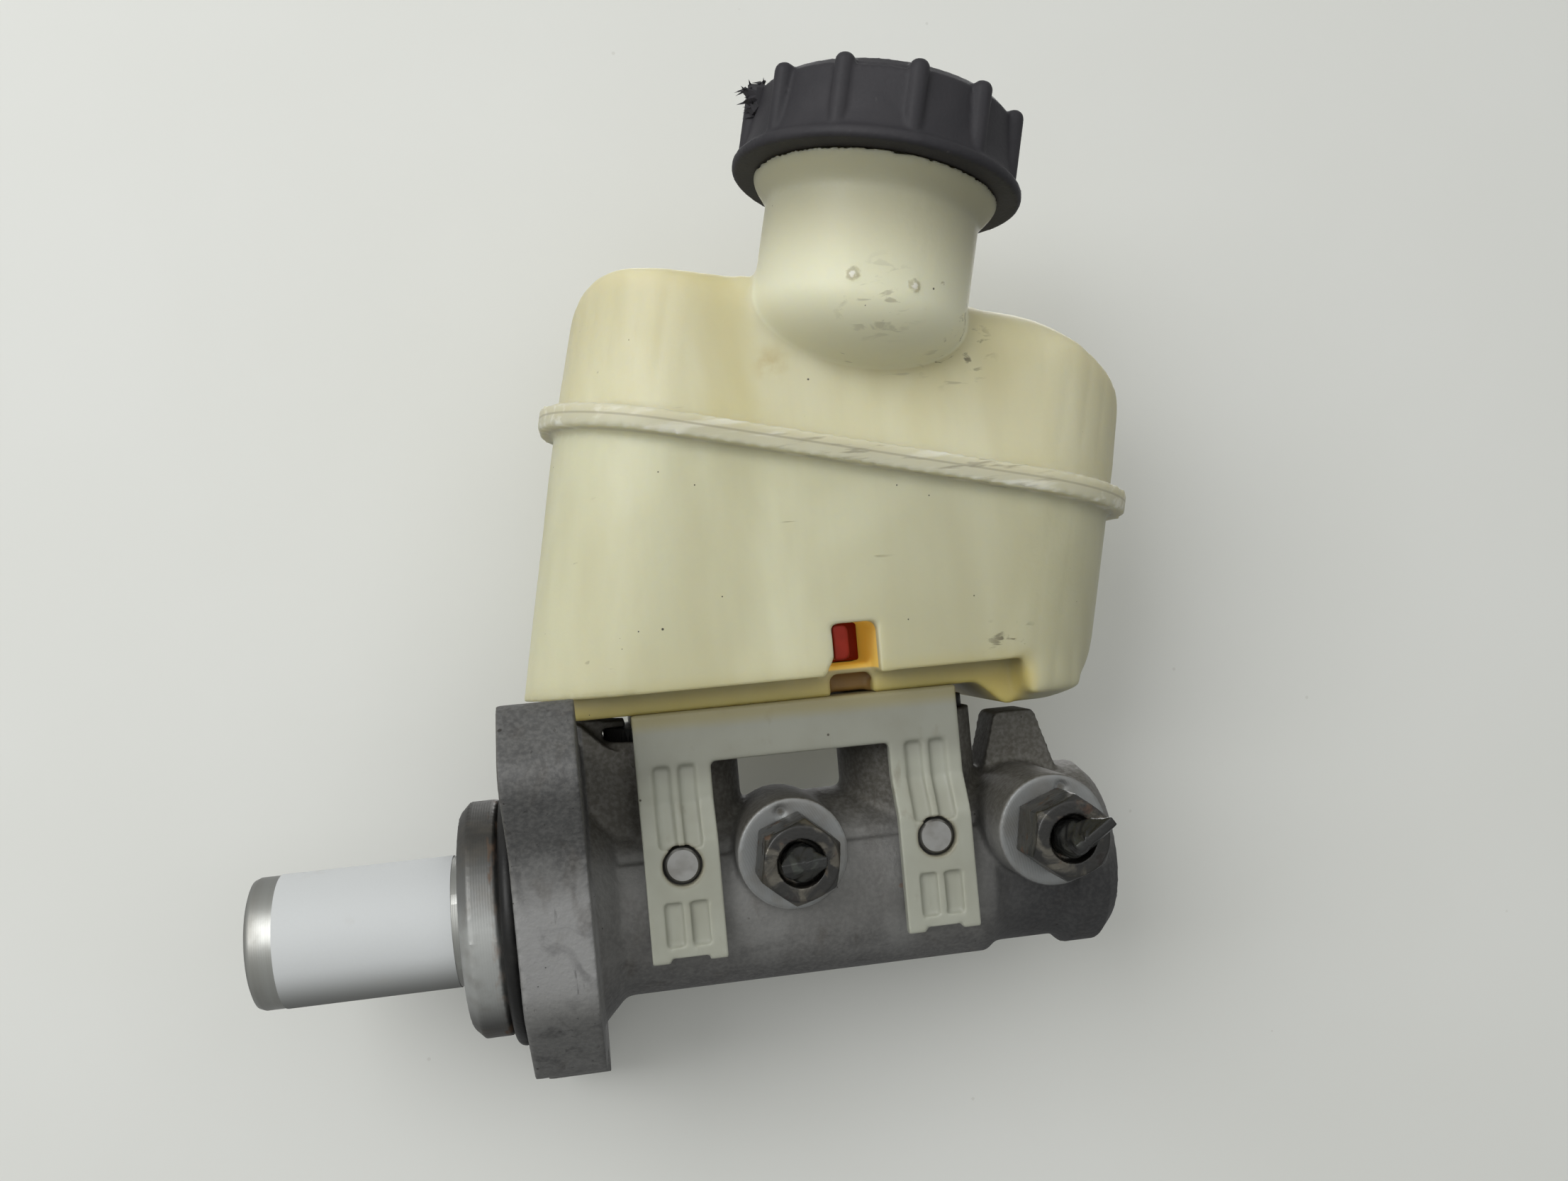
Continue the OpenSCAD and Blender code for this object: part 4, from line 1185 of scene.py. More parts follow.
@dataclass(frozen=True)
class StudRecipe(Recipe):
    """Chamfered studs in pairs that stand out on two sides."""

    SIZES: ClassVar[tuple[str, ...]] = ("Spacing", "Width", "Radius", "Length", "Chamfer")
    steps: int = 24
    sides: int = 40

    def shape(self, g: Graph) -> Signal:
        """Stands a stud on each corner of an oblong, turned away from its middle line.

        Args:
            g: the tree's graph.

        Returns:
            The studs.
        """
        radius, length = g.given("Radius"), g.given("Length")
        feet = g.node("GeometryNodeMeshGrid", inputs={
            "Size X": g.given("Spacing"), "Size Y": g.given("Width"), "Vertices X": 2, "Vertices Y": 2,
        })
        _, side, _ = g.split(g.node("GeometryNodeInputPosition"))
        lean = g.node("ShaderNodeMath", {"operation": "SIGN"}, {0: side}) * (-math.pi / 2)
        turn = g.node("ShaderNodeCombineXYZ", inputs={"X": lean})
        spine = g.node("GeometryNodeCurvePrimitiveLine", inputs={"End": g.upward(length)})
        spine = g.node("GeometryNodeResampleCurve", inputs={"Curve": spine, "Count": self.steps})
        reach = g.node("GeometryNodeSplineParameter", out="Length")
        over = (reach - (length - g.given("Chamfer"))).most(0.0)
        outline = g.node("GeometryNodeCurvePrimitiveCircle", inputs={
            "Resolution": self.sides, "Radius": radius,
        })
        stud = g.swept(spine, outline, 1.0 - over / radius)
        return g.node("GeometryNodeInstanceOnPoints", inputs={
            "Points": feet, "Instance": stud, "Rotation": turn,
        })


def grown(
    tree: bpy.types.NodeTree, values: Mapping[str, float], finish: Shop, place: Matrix
) -> bpy.types.Mesh:
    """Runs a Geometry Nodes tree once and keeps its mesh.

    Args:
        tree: the tree.
        values: its sizes by name.
        finish: the finish that it sets.
        place: where its frame is.

    Returns:
        A plain mesh in the part's frame.
    """
    carrier = new_piece(tree.name + "_carrier", bpy.data.meshes.new(tree.name))
    maker = carrier.modifiers.new("maker", "NODES")
    maker.node_group = tree
    given = {**values, "Finish": finish.value.material()}
    for item in tree.interface.items_tree:
        if item.in_out == "INPUT":
            maker[item.identifier] = given[item.name]
    mesh = finished(carrier)
    bpy.data.objects.remove(carrier)
    mesh.transform(place)
    return mesh


# Sub-assemblies


@dataclass
class SubAssembly:
    """A group of pieces that is built and dressed together."""

    body: str
    made: list[str] = field(default_factory=list)

    def fit(
        self, piece: bpy.types.Object, finish: Shop, slot: str, nodes: Sequence[str] = (),
        body: str | None = None,
    ) -> bpy.types.Object:
        """Dresses a piece and ties it to its body.

        Args:
            piece: the piece.
            finish: its finish.
            slot: the record's material slot; not used.
            nodes: the CAD nodes that it stands for.
            body: the body it rides on, the group's own if left out.

        Returns:
            The piece.
        """
        piece.data.materials.clear()
        piece.data.materials.append(finish.value.material())
        if nodes:
            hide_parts(*nodes)
        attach(piece, body or self.body)
        self.made.append(piece.name)
        LOG.info("%s: %d faces on %s", piece.name, len(piece.data.polygons), body or self.body)
        return piece

    def carry(self, node: str, finish: Shop) -> None:
        """Gives a CAD node that keeps its shape a finish.

        Args:
            node: the CAD node.
            finish: its finish.
        """
        skin = frame["nodes"][node].data
        skin.materials.clear()
        skin.materials.append(finish.value.material())
        self.made.append(node)

    def crisp(
        self, node: str, name: str, finish: Shop, slot: str, body: str | None = None
    ) -> bpy.types.Object:
        """Copies a CAD node with smooth round faces and crisp edges.

        Args:
            node: the CAD node.
            name: the piece's name.
            finish: its finish.
            slot: the record's material slot.
            body: the body it rides on.

        Returns:
            The piece.
        """
        piece = new_piece(name, merged_copy(node))
        crisp_skin(piece)
        return self.fit(piece, finish, slot, [node], body)


@dataclass
class CylinderBody(SubAssembly):
    """The casting with its flange, clip pins, pilot ring and inner seals."""

    cell: float = 0.5 * MM
    flange_t: float = 13.6 * MM
    bore_clear: float = 15.5 * MM
    parting_z: float = 9.7 * MM
    fillet_rounds: int = 16
    cast_top: float = 30 * MM
    ledge_half: tuple[float, float] = (21 * MM, 2.4 * MM)
    dimples: tuple[Point, ...] = (
        (50.1 * MM, -22.8 * MM, 17.8 * MM), (103.0 * MM, -29.3 * MM, 17.6 * MM),
    )
    dimple_r: float = 1.4 * MM
    dimple_h: float = 0.5 * MM
    pin_x: tuple[float, float] = (30.9 * MM, 79.9 * MM)
    pin_r: float = 3.3 * MM
    pin_y: tuple[float, float] = (17.0 * MM, 21.95 * MM)
    pin_chamfer: float = 0.4 * MM
    gusset_half: float = 5 * MM
    # Rib from the flange over the rear grommet's lip, as x and z in millimetres
    gusset: tuple[tuple[float, float], ...] = (
        (12.6, 30), (12.6, 37.2), (18, 37), (22.8, 36.5), (22.8, 35.3), (18.1, 35.3), (18.1, 30),
    )

    def fillet_share(self, points: np.ndarray) -> np.ndarray:
        """Where the casting has fillets: ahead of the flange, outside its bores, off the parting ledge.

        Args:
            points: points on the casting in metres.

        Returns:
            The share of the fillet at each point.
        """
        x, y, z = points.T
        half_y, half_z = self.ledge_half
        cast = (x > self.flange_t - 1 * MM) & (np.hypot(y, z) > self.bore_clear) & (z < self.cast_top)
        ledge = (np.abs(z - self.parting_z) < half_z) & (np.abs(y) < half_y)
        return (cast & ~ledge) * 1.0

    def punched(self, points: np.ndarray) -> np.ndarray:
        """Presses the punch marks into the port faces.

        Args:
            points: points on the casting in metres.

        Returns:
            The moved points.
        """
        for centre in self.dimples:
            points = pressed(points, centre, self.dimple_r, (0, self.dimple_h, 0))
        return points

    def pins(self) -> None:
        """Sets machined ends on the four clip pins."""
        low, high = self.pin_y
        mesh = grown(StudRecipe("clip_pin_studs").tree(), {
            "Spacing": self.pin_x[1] - self.pin_x[0], "Width": 2 * low, "Radius": self.pin_r,
            "Length": high - low, "Chamfer": self.pin_chamfer,
        }, Shop.PIN, Matrix.Translation((sum(self.pin_x) / 2, 0, self.parting_z)))
        pins = new_piece("clip_pins", mesh)
        crisp_skin(pins)
        self.fit(pins, Shop.PIN, "cast_aluminium")

    def build(self) -> None:
        """Builds the casting, its pins, the O-ring and the rubber pieces."""
        rib = prism([(x * MM, z * MM) for x, z in self.gusset], (-self.gusset_half, self.gusset_half))
        casting = joined("casting", [merged_copy("master_body"), rib])
        soft_skin(
            casting, self.cell, fillet=self.fillet_rounds, where=self.fillet_share, carve=self.punched
        )
        self.fit(casting, Shop.CASTING, "cast_aluminium", ["master_body"])
        self.pins()
        self.crisp("pilot_o_ring", "pilot_ring", Shop.SEAL, "seal_rubber")
        for node in (
            "vacuum_seal", "primary_rear_seal", "primary_pressure_seal", "separating_seal",
            "secondary_pressure_seal",
        ):
            self.carry(node, Shop.SEAL)
        for end in ("rear", "front"):
            self.crisp(f"{end}_grommet", f"inlet_grommet_{end}", Shop.GROMMET, "seal_rubber")
        self.carry("guide_ring", Shop.GUIDE)
        self.carry("retaining_ring", Shop.RETAINER)


@dataclass
class PistonSet(SubAssembly):
    """Both pistons with their springs, the captive sleeve and the paper label."""

    wire: float = 2.4 * MM
    turns: float = 7.0
    closed: float = 0.35
    label_x: tuple[float, float] = (-46.1 * MM, -13.2 * MM)
    piston_r: float = 12.65 * MM
    paper_t: float = 0.14 * MM
    paper_gap: float = 0.02 * MM
    paper_faces: tuple[int, int] = (24, 96)
    paper_keep: float = 0.2
    travel: float = 12.5 * MM
    room: float = 0.4 * MM

    def spring(self, tree: bpy.types.NodeTree, node: str, name: str, body: str, joint: str) -> None:
        """Winds a spring in a CAD spring's place.

        Args:
            tree: the coil's Geometry Nodes tree.
            node: the CAD spring.
            name: the piece's name.
            body: the body it rides on.
            joint: the joint that shortens it, at its limit by the travel; not used.
        """
        low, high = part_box(node)
        length = high.x - low.x
        outer = (high.y - low.y) / 2
        place = Matrix.Translation((low.x + self.wire / 2, 0, 0)) @ Matrix.Rotation(math.pi / 2, 4, "Y")
        mesh = grown(tree, {
            "Radius": outer - self.wire / 2, "Length": length - self.wire, "Turns": self.turns,
            "Wire Width": self.wire, "Wire Height": self.wire, "Closed Ends": self.closed,
        }, Shop.SPRING, place)
        piece = self.fit(new_piece(name, mesh), Shop.SPRING, "spring_steel", [node], body)
        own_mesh(piece)

    def label(self) -> None:
        """Wraps the blank label round the piston."""
        low, high = self.label_x
        inner = self.piston_r + self.paper_gap
        outer = inner + self.paper_t
        steps, turns = self.paper_faces
        along = [low + (high - low) * i / steps for i in range(steps + 1)]
        outline = [(outer, x) for x in along] + [(inner, x) for x in reversed(along)]
        mesh = lathe(outline, turns, Matrix.Rotation(math.pi / 2, 4, "Y"))
        piece = new_piece("paper_label", mesh)
        crisp_skin(piece)
        self.fit(piece, Shop.PAPER, "machined_aluminium")
        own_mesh(piece)

    def floating(self) -> None:
        """Builds the floating piston a little small, so that its skin stays clear of the bore's."""
        piston = self.crisp(
            "secondary_piston", "floating_piston", Shop.PISTON, "machined_aluminium", "secondary"
        )
        low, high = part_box("secondary_piston")
        shares = [1 - self.room / size for size in high - low]
        middle = Matrix.Translation((low + high) / 2)
        piston.data.transform(middle @ Matrix.Diagonal((*shares, 1)) @ middle.inverted())

    def build(self) -> None:
        """Builds pistons, springs, sleeve, screw and label."""
        self.crisp("primary_piston", "pushed_piston", Shop.PISTON, "machined_aluminium")
        self.floating()
        self.crisp("spring_retainer", "captive_sleeve", Shop.RETAINER, "zinc_steel", "secondary")
        self.crisp("retainer_screw", "captive_screw", Shop.RETAINER, "zinc_steel")
        coil = CoilRecipe("return_spring_coil").tree()
        for stage in ("primary", "secondary"):
            self.spring(coil, f"{stage}_spring", f"{stage}_coil", stage, f"{stage}_push")
        self.label()


@dataclass
class PortFittings(SubAssembly):
    """The tube nuts and the pinched-off tubes in them."""

    cell: float = 0.26 * MM
    tube_cell: float = 0.2 * MM
    folds: int = 5
    fold_h: float = 0.24 * MM
    fold_l: float = 2.2 * MM
    core_r: float = 0.5 * MM

    def crumpled(self, points: np.ndarray) -> np.ndarray:
        """Folds a pinched tube's skin.

        Args:
            points: points on the tube in metres; the tube lies along Y.

        Returns:
            The moved points.
        """
        arm = points - points.mean(axis=0)
        angle = np.arctan2(arm[:, 2], arm[:, 0])
        along = arm[:, 1] * (2 * math.pi / self.fold_l)
        fold = np.sin(self.folds * angle + 0.4 * along) * (0.6 + 0.4 * np.sin(along + 2 * angle))
        away = np.maximum(np.hypot(arm[:, 0], arm[:, 2]), self.core_r)
        return points + arm * np.array((1, 0, 1)) * (self.fold_h * fold / away)[:, None]

    def build(self) -> None:
        """Builds both nuts and both tube ends."""
        for end in ("rear", "front"):
            nut = new_piece(f"{end}_nut", merged_copy(f"{end}_tube_nut"))
            soft_skin(nut, self.cell)
            self.fit(nut, Shop.NUT, "zinc_steel", [f"{end}_tube_nut"])
            stub = new_piece(f"{end}_pinched_tube", merged_copy(f"{end}_tube_stub"))
            soft_skin(stub, self.tube_cell, polish=3, carve=self.crumpled)
            self.fit(stub, Shop.TUBE, "tube_steel", [f"{end}_tube_stub"])


@dataclass
class Reservoir(SubAssembly):
    """The welded reservoir with its neck, and the neck's thread."""

    cell: float = 0.7 * MM
    neck_r: float = 20.5 * MM
    neck_seam: float = 36.0 * MM
    lap: float = 0.9 * MM
    middle: Vector = field(default_factory=lambda: Vector((70.3, 0, 84.1)) * MM)
    corner: tuple[float, float] = (34.4 * MM, 3.0 * MM)
    corner_r: float = 23.0 * MM
    corner_strips: int = 7
    corner_skin: float = 4 * MM
    collar_r: float = 23.4 * MM
    flare_q: tuple[float, float] = (44.6 * MM, 50.1 * MM)
    # How deep below the neck's and the collar's outer faces the flare still moves points
    flare_skin: tuple[float, float] = (0.6 * MM, 0.8 * MM)
    root_q: tuple[float, float] = (8 * MM, 46 * MM)
    root_w: float = 8 * MM
    root_y: float = -16 * MM
    edge_gap: float = 3 * MM
    polish_rounds: int = 6
    fillet_rounds: int = 18
    blunt_rounds: int = 36
    toe_x: tuple[float, float] = (99.5 * MM, 113 * MM)
    toe_z: tuple[float, float] = (35 * MM, 46 * MM)
    toe_centre: float = 96.3 * MM
    toe_steps: int = 12
    toe_lap: tuple[float, float] = (1 * MM, 2 * MM)
    web_x: tuple[float, float] = (61.8 * MM, 71.8 * MM)
    web_y: tuple[float, float] = (-14 * MM, -11 * MM)
    web_z: tuple[float, float] = (38.6 * MM, 43.8 * MM)
    gate_r: float = 1.2 * MM
    gate_h: float = 0.5 * MM
    thread_q: tuple[float, float] = (52.0 * MM, 59.2 * MM)
    thread_w: float = 2.4 * MM
    thread_h: float = 1.5 * MM
    thread_turns: float = 1.25

    def neck_place(self) -> Matrix:
        """Finds the neck's frame from the cap's own joint.

        Returns:
            The frame, with its origin on the weld's plane.
        """
        joint = next(j for j in frame["joints"] if j["name"] == "cap_turn")
        turn = Vector((0, 0, 1)).rotation_difference(Vector(joint["axis"]).normalized())
        return Matrix.Translation(joint["pos_m"]) @ turn.to_matrix().to_4x4()

    def root_share(self, points: np.ndarray) -> np.ndarray:
        """Where the neck's domed end runs into the front wall with a small fillet.

        Args:
            points: points on the reservoir in metres.

        Returns:
            The share of the fillet at each point.
        """
        low, high = self.root_q
        local = moved(points, self.neck_place().inverted())
        away = np.hypot(local[:, 0], local[:, 1])
        near = (away < self.neck_r + self.root_w) & (points[:, 1] < self.root_y)
        return (near & (local[:, 2] > low) & (local[:, 2] < high)) * 1.0

    def edge_share(self, points: np.ndarray) -> np.ndarray:
        """Where edges are rounded off: on the dome, away from the neck, and at the toe.

        Args:
            points: points on the reservoir in metres.

        Returns:
            The share of the rounding at each point.
        """
        local = moved(points, self.neck_place().inverted())
        away = np.hypot(local[:, 0], local[:, 1])
        dome = (local[:, 2] > self.root_q[0]) & (away > self.neck_r + self.edge_gap)
        behind, under = self.toe_lap
        toe = (points[:, 0] > self.toe_x[0] - behind) & (points[:, 2] < self.toe_z[1] - under)
        return (dome | toe) * 1.0

    def rounded(self, points: np.ndarray) -> np.ndarray:
        """Makes the reservoir's corners round in plan, where the solids have flat strips.

        Args:
            points: points on the reservoir in metres.

        Returns:
            The moved points.
        """
        strip = math.radians(90 / self.corner_strips)
        local = points @ np.array(self.neck_place().to_3x3())
        along = local[:, 0] - self.middle.dot(self.neck_place().col[0].to_3d())
        out = np.stack([np.abs(along) - self.corner[0], np.abs(local[:, 1]) - self.corner[1]], axis=1)
        angle = np.arctan2(out[:, 1], out[:, 0])
        grow = np.cos(angle % strip - strip / 2) / math.cos(strip / 2) - 1
        grow = grow * (out > 0).all(axis=1) * (np.hypot(*out.T) > self.corner_r - self.corner_skin)
        local[:, 0] += out[:, 0] * grow * np.sign(along)
        local[:, 1] += out[:, 1] * grow * np.sign(local[:, 1])
        return local @ np.array(self.neck_place().to_3x3()).T

    def flared(self, points: np.ndarray) -> np.ndarray:
        """Lets the neck flare softly into the collar under the cap.

        Args:
            points: points on the reservoir in metres.

        Returns:
            The moved points.
        """
        place = self.neck_place()
        local = moved(points, place.inverted())
        away = np.hypot(local[:, 0], local[:, 1])
        low, high = self.flare_q
        part = np.clip((local[:, 2] - low) / (high - low), 0, 1)
        goal = self.neck_r + (self.collar_r - self.neck_r) * part * part * (3 - 2 * part)
        thin, thick = self.flare_skin
        moves = (local[:, 2] > low) & (local[:, 2] < high) & (away > self.neck_r - thin)
        moves &= (local[:, 2] < high - thick) | (away > self.collar_r - thick)
        local[:, :2] *= np.where(moves, goal / np.maximum(away, MM), 1)[:, None]
        return moved(local, place)

    def moulded(self, points: np.ndarray) -> np.ndarray:
        """Rounds the corners, flares the neck and pulls the two torn moulding gates out of it.

        Args:
            points: points on the reservoir in metres.

        Returns:
            The moved points.
        """
        points = self.flared(self.rounded(points))
        for gate in Shop.RESERVOIR.value.gates:
            points = pressed(points, np.array(gate) * MM, self.gate_r, (0, -self.gate_h, 0))
        return points

    def web(self) -> bpy.types.Mesh:
        """The wall that joins the two halves of the sump under the sensor's channel; it fills a shaded
        gap and carries brown painted shade.
        """
        (rear, front), (low, high) = self.web_x, self.web_z
        return prism([(rear, low), (front, low), (front, high), (rear, high)], self.web_y)

    def toe(self) -> bpy.types.Mesh:
        """The front end of the tub, where its wall runs down past the skirt.

        Returns:
            Its mesh.
        """
        steps, radius = self.toe_steps, self.corner_r
        first, last = (math.acos((x - self.toe_centre) / radius) for x in self.toe_x)
        arc = [first + (last - first) * i / steps for i in range(steps + 1)]
        side = [
            (self.toe_centre + radius * math.cos(a), self.corner[1] + radius * math.sin(a)) for a in arc
        ]
        mesh = prism(side + [(x, -y) for x, y in reversed(side)], self.toe_z)
        mesh.transform(Matrix.Rotation(math.pi / 2, 4, "X"))
        return mesh

    def build(self) -> None:
        """Builds the shell of tub, dome and neck, and the thread."""
        place = self.neck_place()
        foot, axis = place.translation, place.col[2].to_3d()
        shell = joined("reservoir_shell", [
            merged_copy("reservoir_lower"),
            sunk(merged_copy("reservoir_upper"), foot, axis, self.lap),
            sunk(merged_copy("reservoir_neck"), foot + axis * self.neck_seam, axis, self.lap),
            self.web(), self.toe(),
        ])
        soft_skin(
            shell, self.cell, self.polish_rounds, self.fillet_rounds, self.root_share, self.moulded,
            self.blunt_rounds, self.edge_share,
        )
        self.fit(shell, Shop.RESERVOIR, "reservoir_plastic", [
            "reservoir_lower", "reservoir_upper", "reservoir_neck",
        ])
        low, high = self.thread_q
        mesh = grown(CoilRecipe("neck_thread_coil").tree(), {
            "Radius": self.neck_r, "Length": high - low, "Turns": self.thread_turns,
            "Wire Width": self.thread_h * 2, "Wire Height": self.thread_w, "Closed Ends": 0.0,
        }, Shop.RESERVOIR, place @ Matrix.Translation((0, 0, low)))
        self.fit(new_piece("neck_thread", mesh), Shop.RESERVOIR, "reservoir_plastic")


@dataclass
class ReservoirClip(SubAssembly):
    """The moulded frame that holds the reservoir on the casting."""

    cell: float = 0.45 * MM

    def build(self) -> None:
        """Builds the clip with soft moulded edges."""
        clip = new_piece("holding_clip", merged_copy("reservoir_clip"))
        soft_skin(clip, self.cell)
        self.fit(clip, Shop.CLIP, "clip_plastic", ["reservoir_clip"])


@dataclass
class FillerCap(SubAssembly):
    """The screw cap with its grip ribs, torn strap and gasket."""

    neck: Matrix = field(default_factory=Matrix)
    cell: float = 0.42 * MM
    ribs: int = 12
    ring_r: float = 25.2 * MM
    rib_r: float = 1.85 * MM
    rib_q: tuple[float, float] = (52.2 * MM, 66.3 * MM)
    turn: float = -13.0
    strap_at: float = 189.0
    strap_half: float = 1.5 * MM
    # The strap's torn outline, outwards from the ribs' ring and down from the cap's top, in millimetres
    torn: tuple[tuple[float, float], ...] = (
        (-1.6, -6.3), (0.7, -6.8), (1.7, -5.7), (1.2, -5.0), (2.6, -4.6), (2.0, -3.7),
        (3.2, -2.6), (2.0, -2.2), (2.1, -1.2), (0.6, -0.9), (-0.3, -0.4), (-1.6, -1.1),
    )
    # Its size at places across it, which are shares of its half width, and the point it shrinks to
    slices: tuple[tuple[float, float], ...] = ((0.7, -1.0), (1.0, -0.5), (0.92, 0.4), (0.6, 1.0))
    torn_middle: tuple[float, float] = (-1.0, -3.6)
    fibres: int = 26
    fibre_r: float = 0.24 * MM
    seed: int = 7
    slope: float = 0.6
    slope_in: float = 1.8 * MM
    slope_h: float = 0.6 * MM

    def strap(self) -> bpy.types.Mesh:
        """The torn root of the strap that once held the cap, with its loose fibres.

        Returns:
            Its mesh.
        """
        angle = math.radians(self.strap_at)
        out = Vector((math.cos(angle), math.sin(angle), 0))
        side = Vector((-out.y, out.x, 0))
        draw = random.Random(self.seed)
        work = bmesh.new()

        def spot(reach: float, height: float, across: float) -> Vector:
            """A place on the torn end, in the part's frame."""
            flat = out * (self.ring_r + reach * MM) + side * across * self.strap_half
            return self.neck @ (flat + Vector((0, 0, self.rib_q[1] + height * MM)))

        mid_r, mid_q = self.torn_middle
        rings = [
            [
                work.verts.new(spot((r - mid_r) * part + mid_r, (q - mid_q) * part + mid_q, across))
                for r, q in self.torn
            ]
            for part, across in self.slices
        ]
        count = len(self.torn)
        for low, high in zip(rings, rings[1:]):
            for i in range(count):
                j = (i + 1) % count
                work.faces.new((low[i], low[j], high[j], high[i]))
        work.faces.new(rings[0])
        work.faces.new(rings[-1])
        third = 2 * math.pi / 3
        for _ in range(self.fibres):
            reach, height = draw.choice(self.torn[1:-1])
            root = spot(reach - 0.5, height, draw.uniform(-0.6, 0.6))
            reach += draw.uniform(0.2, 1.3)
            height += draw.uniform(-0.9, 0.4)
            tip = spot(reach, height, draw.uniform(-2, 2))
            run = (tip - root).normalized()
            flat = run.orthogonal() * self.fibre_r
            ring = [work.verts.new(root + Matrix.Rotation(k * third, 3, run) @ flat) for k in range(3)]
            point = work.verts.new(tip)
            for k in range(3):
                work.faces.new((ring[k], ring[(k + 1) % 3], point))
            work.faces.new(ring)
        bmesh.ops.recalc_face_normals(work, faces=work.faces)
        return settled(work, "torn_strap")

    def sloped(self) -> bpy.types.Mesh:
        """Copies the cap with its flat rib tops sloped, so that domed ribs can stand over them.

        Returns:
            The copy.
        """
        mesh = merged_copy("filler_cap")
        mesh.transform(self.neck.inverted())
        points = points_of(mesh)
        out = np.hypot(points[:, 0], points[:, 1]) - (self.ring_r - self.slope_in)
        high = points[:, 2] > self.rib_q[1] - self.slope_h
        points[:, 2] -= np.clip(out, 0, None) * high * self.slope
        move_points(mesh, points)
        mesh.transform(self.neck)
        return mesh

    def build(self) -> None:
        """Builds cap and ribs as one moulding, the torn strap and the gasket."""
        low, high = self.rib_q
        ribs = grown(RibRecipe("cap_grip_ribs").tree(), {
            "Count": self.ribs, "Ring Radius": self.ring_r,
            "First Angle": math.radians(180 / self.ribs - 90 + self.turn), "Rib Radius": self.rib_r,
            "Low": low, "High": high,
        }, Shop.CAP, self.neck)
        cap = joined("screw_cap", [self.sloped(), ribs])
        soft_skin(cap, self.cell)
        self.fit(cap, Shop.CAP, "cap_plastic", ["filler_cap"])
        self.fit(new_piece("torn_strap", self.strap()), Shop.CAP, "cap_plastic")
        self.crisp("cap_gasket", "neck_gasket", Shop.SEAL, "seal_rubber", "gasket")


@dataclass
class LevelSwitch(SubAssembly):
    """The level warning: sensor, terminals, reed, float and magnet."""

    cell: float = 0.34 * MM

    def build(self) -> None:
        """Builds the sensor and its inner pieces."""
        sensor = new_piece("sensor_housing", merged_copy("level_sensor"))
        soft_skin(sensor, self.cell)
        self.fit(sensor, Shop.SENSOR, "sensor_plastic", ["level_sensor"])
        self.crisp("sensor_terminals", "plug_blades", Shop.BRASS, "terminal_brass")
        self.crisp("reed_switch", "reed_tube", Shop.GLASS, "reed_glass")
        self.crisp("level_float", "fluid_float", Shop.FLOAT, "float_plastic", "float")
        self.crisp("float_magnet", "float_magnet_disc", Shop.MAGNET, "magnet", "float")


# Studio


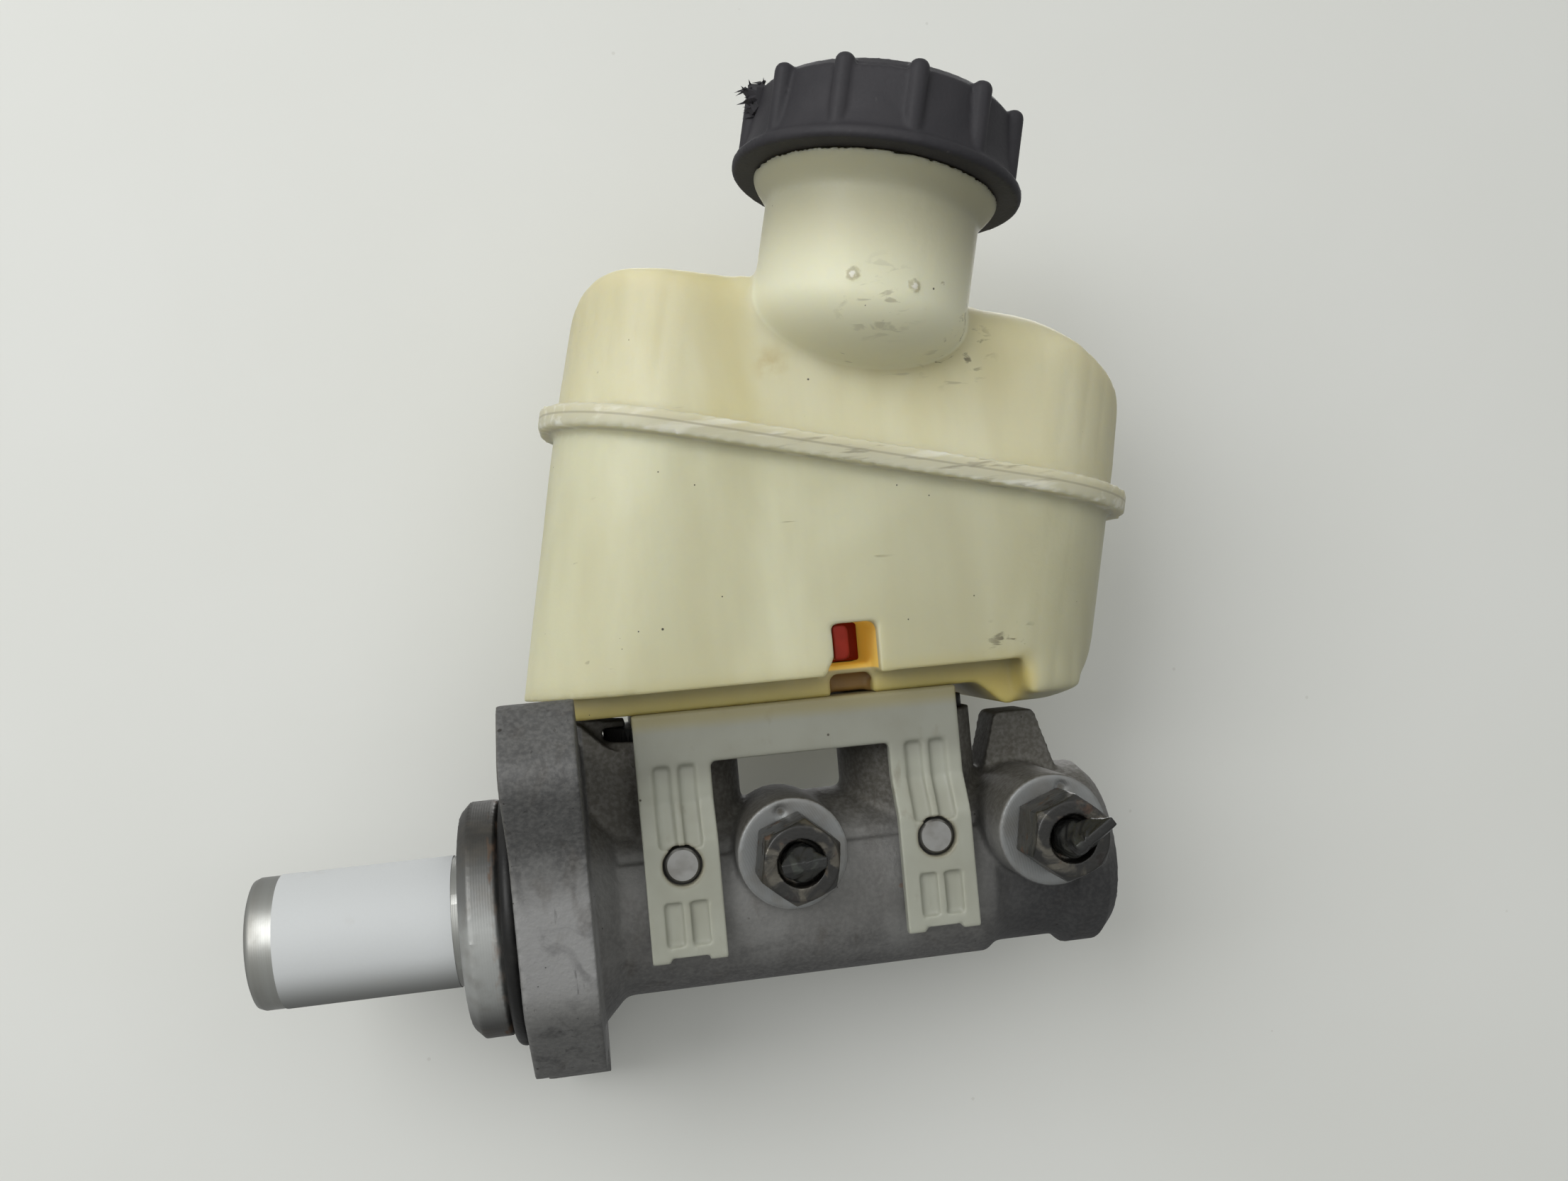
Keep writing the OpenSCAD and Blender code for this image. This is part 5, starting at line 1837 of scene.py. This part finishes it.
@dataclass
class Studio:
    """Table, light and camera."""

    eye: Point = (18.73 * MM, -275.86 * MM, 55.68 * MM)
    right: Point = (0.98637, -0.13814, -0.08938)
    down: Point = (-0.08651, 0.02668, -0.99589)
    image_width: float = 2212.0
    focal_pixels: float = 1901.48
    sensor_width: float = 36.0
    nearest: float = 0.01
    table_gap: float = 0.6 * MM
    table_r: float = 0.75
    table_x: float = 0.04
    table_z: float = 0.06
    table_sides: int = 64
    aim: Point = (0.04, 0, 0.07)
    pale: Color = paint(228, 229, 225)

    def table(self) -> None:
        """Lays the pale table behind the part, seen from its front only and with the part's shadow."""
        y = CAD_BOX[1][1] + self.table_gap
        work = bmesh.new()
        angles = (2 * math.pi * i / self.table_sides for i in range(self.table_sides))
        work.faces.new([
            work.verts.new((
                self.table_x + self.table_r * math.cos(a), y, self.table_z + self.table_r * math.sin(a),
            ))
            for a in angles
        ])
        table = new_piece("table", settled(work, "table"))
        skin = bpy.data.materials.new("table_top")
        skin.use_nodes = True
        g = Graph(skin.node_tree)
        cloud = g.noise(60, 5).step(0.3, 0.7)
        fleck = g.specks(16, 0.5, 0.3)
        colour = g.mix(cloud * 0.5, self.pale, paint(225, 226, 221))
        colour = g.mix(fleck * 0.2, colour, paint(170, 166, 156))
        top = g.node("ShaderNodeBsdfDiffuse", inputs={"Color": colour})
        clear = g.node("ShaderNodeBsdfTransparent")
        seen = g.node("ShaderNodeLightPath", out="Is Camera Ray")
        back = g.node("ShaderNodeNewGeometry", out="Backfacing")
        reach = self.table_r / MM
        edge = g.spot((self.table_x / MM, y / MM, self.table_z / MM), reach * 0.5, reach * 0.48)
        shader = g.node("ShaderNodeMixShader", inputs={0: seen * (1 - back) * edge, 1: clear, 2: top})
        g.node("ShaderNodeOutputMaterial", inputs={"Surface": shader})
        table.data.materials.append(skin)

    def lamp(self, name: str, place: Sequence[float], size: float, power: float) -> None:
        """Hangs a soft square lamp that faces the part.

        Args:
            name: its name.
            place: where it is, in metres.
            size: its side in metres.
            power: its power in watts.
        """
        data = bpy.data.lights.new(name, "AREA")
        data.size = size
        data.energy = power
        lamp = bpy.data.objects.new(name, data)
        bpy.context.scene.collection.objects.link(lamp)
        turn = (Vector(self.aim) - Vector(place)).to_track_quat("-Z", "Y")
        lamp.matrix_world = Matrix.Translation(place) @ turn.to_matrix().to_4x4()

    def light(self) -> None:
        """Lights the part softly from the upper left, under a pale sky."""
        world = bpy.data.worlds.new("studio")
        bpy.context.scene.world = world
        world.use_nodes = True
        g = Graph(world.node_tree)
        x, y, z = g.split(g.node("ShaderNodeTexCoord", out="Generated"))
        glow = 0.55 - y * 0.28 + z * 0.24 - x * 0.14
        sky = g.mix(glow, paint(120, 121, 121), paint(240, 241, 238))
        path = g.node("ShaderNodeLightPath").socket.node.outputs
        seen = Signal(g, path["Is Camera Ray"])
        mirrored = Signal(g, path["Is Glossy Ray"]).most(Signal(g, path["Is Transmission Ray"]))
        lit = g.node("ShaderNodeMixShader", inputs={
            0: mirrored, 1: g.node("ShaderNodeBackground", inputs={"Color": sky, "Strength": 0.55}),
            2: g.node("ShaderNodeBackground", inputs={"Color": sky, "Strength": 0.9}),
        })
        shown = g.node("ShaderNodeBackground", inputs={"Color": self.pale, "Strength": 1.0})
        both = g.node("ShaderNodeMixShader", inputs={0: seen, 1: lit, 2: shown})
        g.node("ShaderNodeOutputWorld", inputs={"Surface": both})
        self.lamp("window", (-0.55, -0.75, 0.5), 0.7, 6.4)
        self.lamp("ceiling", (0.25, -0.9, 0.35), 0.9, 1.6)
        self.lamp("back", (0.35, 0.85, 0.6), 0.8, 5.5)

    def camera(self) -> None:
        """Puts the camera where the photo was taken from."""
        data = bpy.data.cameras.new("photo_camera")
        data.sensor_fit = "HORIZONTAL"
        data.sensor_width = self.sensor_width
        data.lens = self.focal_pixels * self.sensor_width / self.image_width
        data.clip_start = self.nearest
        camera = bpy.data.objects.new("photo_camera", data)
        bpy.context.scene.collection.objects.link(camera)
        right = Vector(self.right).normalized()
        up = -Vector(self.down)
        up = (up - right * up.dot(right)).normalized()
        turn = Matrix((right, up, right.cross(up))).transposed().to_4x4()
        camera.matrix_world = Matrix.Translation(self.eye) @ turn
        bpy.context.scene.camera = camera

    def build(self) -> None:
        """Builds the whole studio."""
        self.table()
        self.light()
        self.camera()
        bpy.context.scene.view_settings.view_transform = "Standard"


def main() -> None:
    """Builds every sub-assembly in order."""
    logging.basicConfig(level=logging.INFO, format="%(message)s")
    reservoir = Reservoir("cylinder")
    groups = [
        CylinderBody("cylinder"), PistonSet("primary"), PortFittings("cylinder"), reservoir,
        ReservoirClip("cylinder"), FillerCap("cap", neck=reservoir.neck_place()),
        LevelSwitch("cylinder"),
    ]
    for group in groups:
        group.build()
        LOG.info("%s: %s", type(group).__name__, ", ".join(group.made))
    Studio().build()


if __name__ == "__main__":
    main()
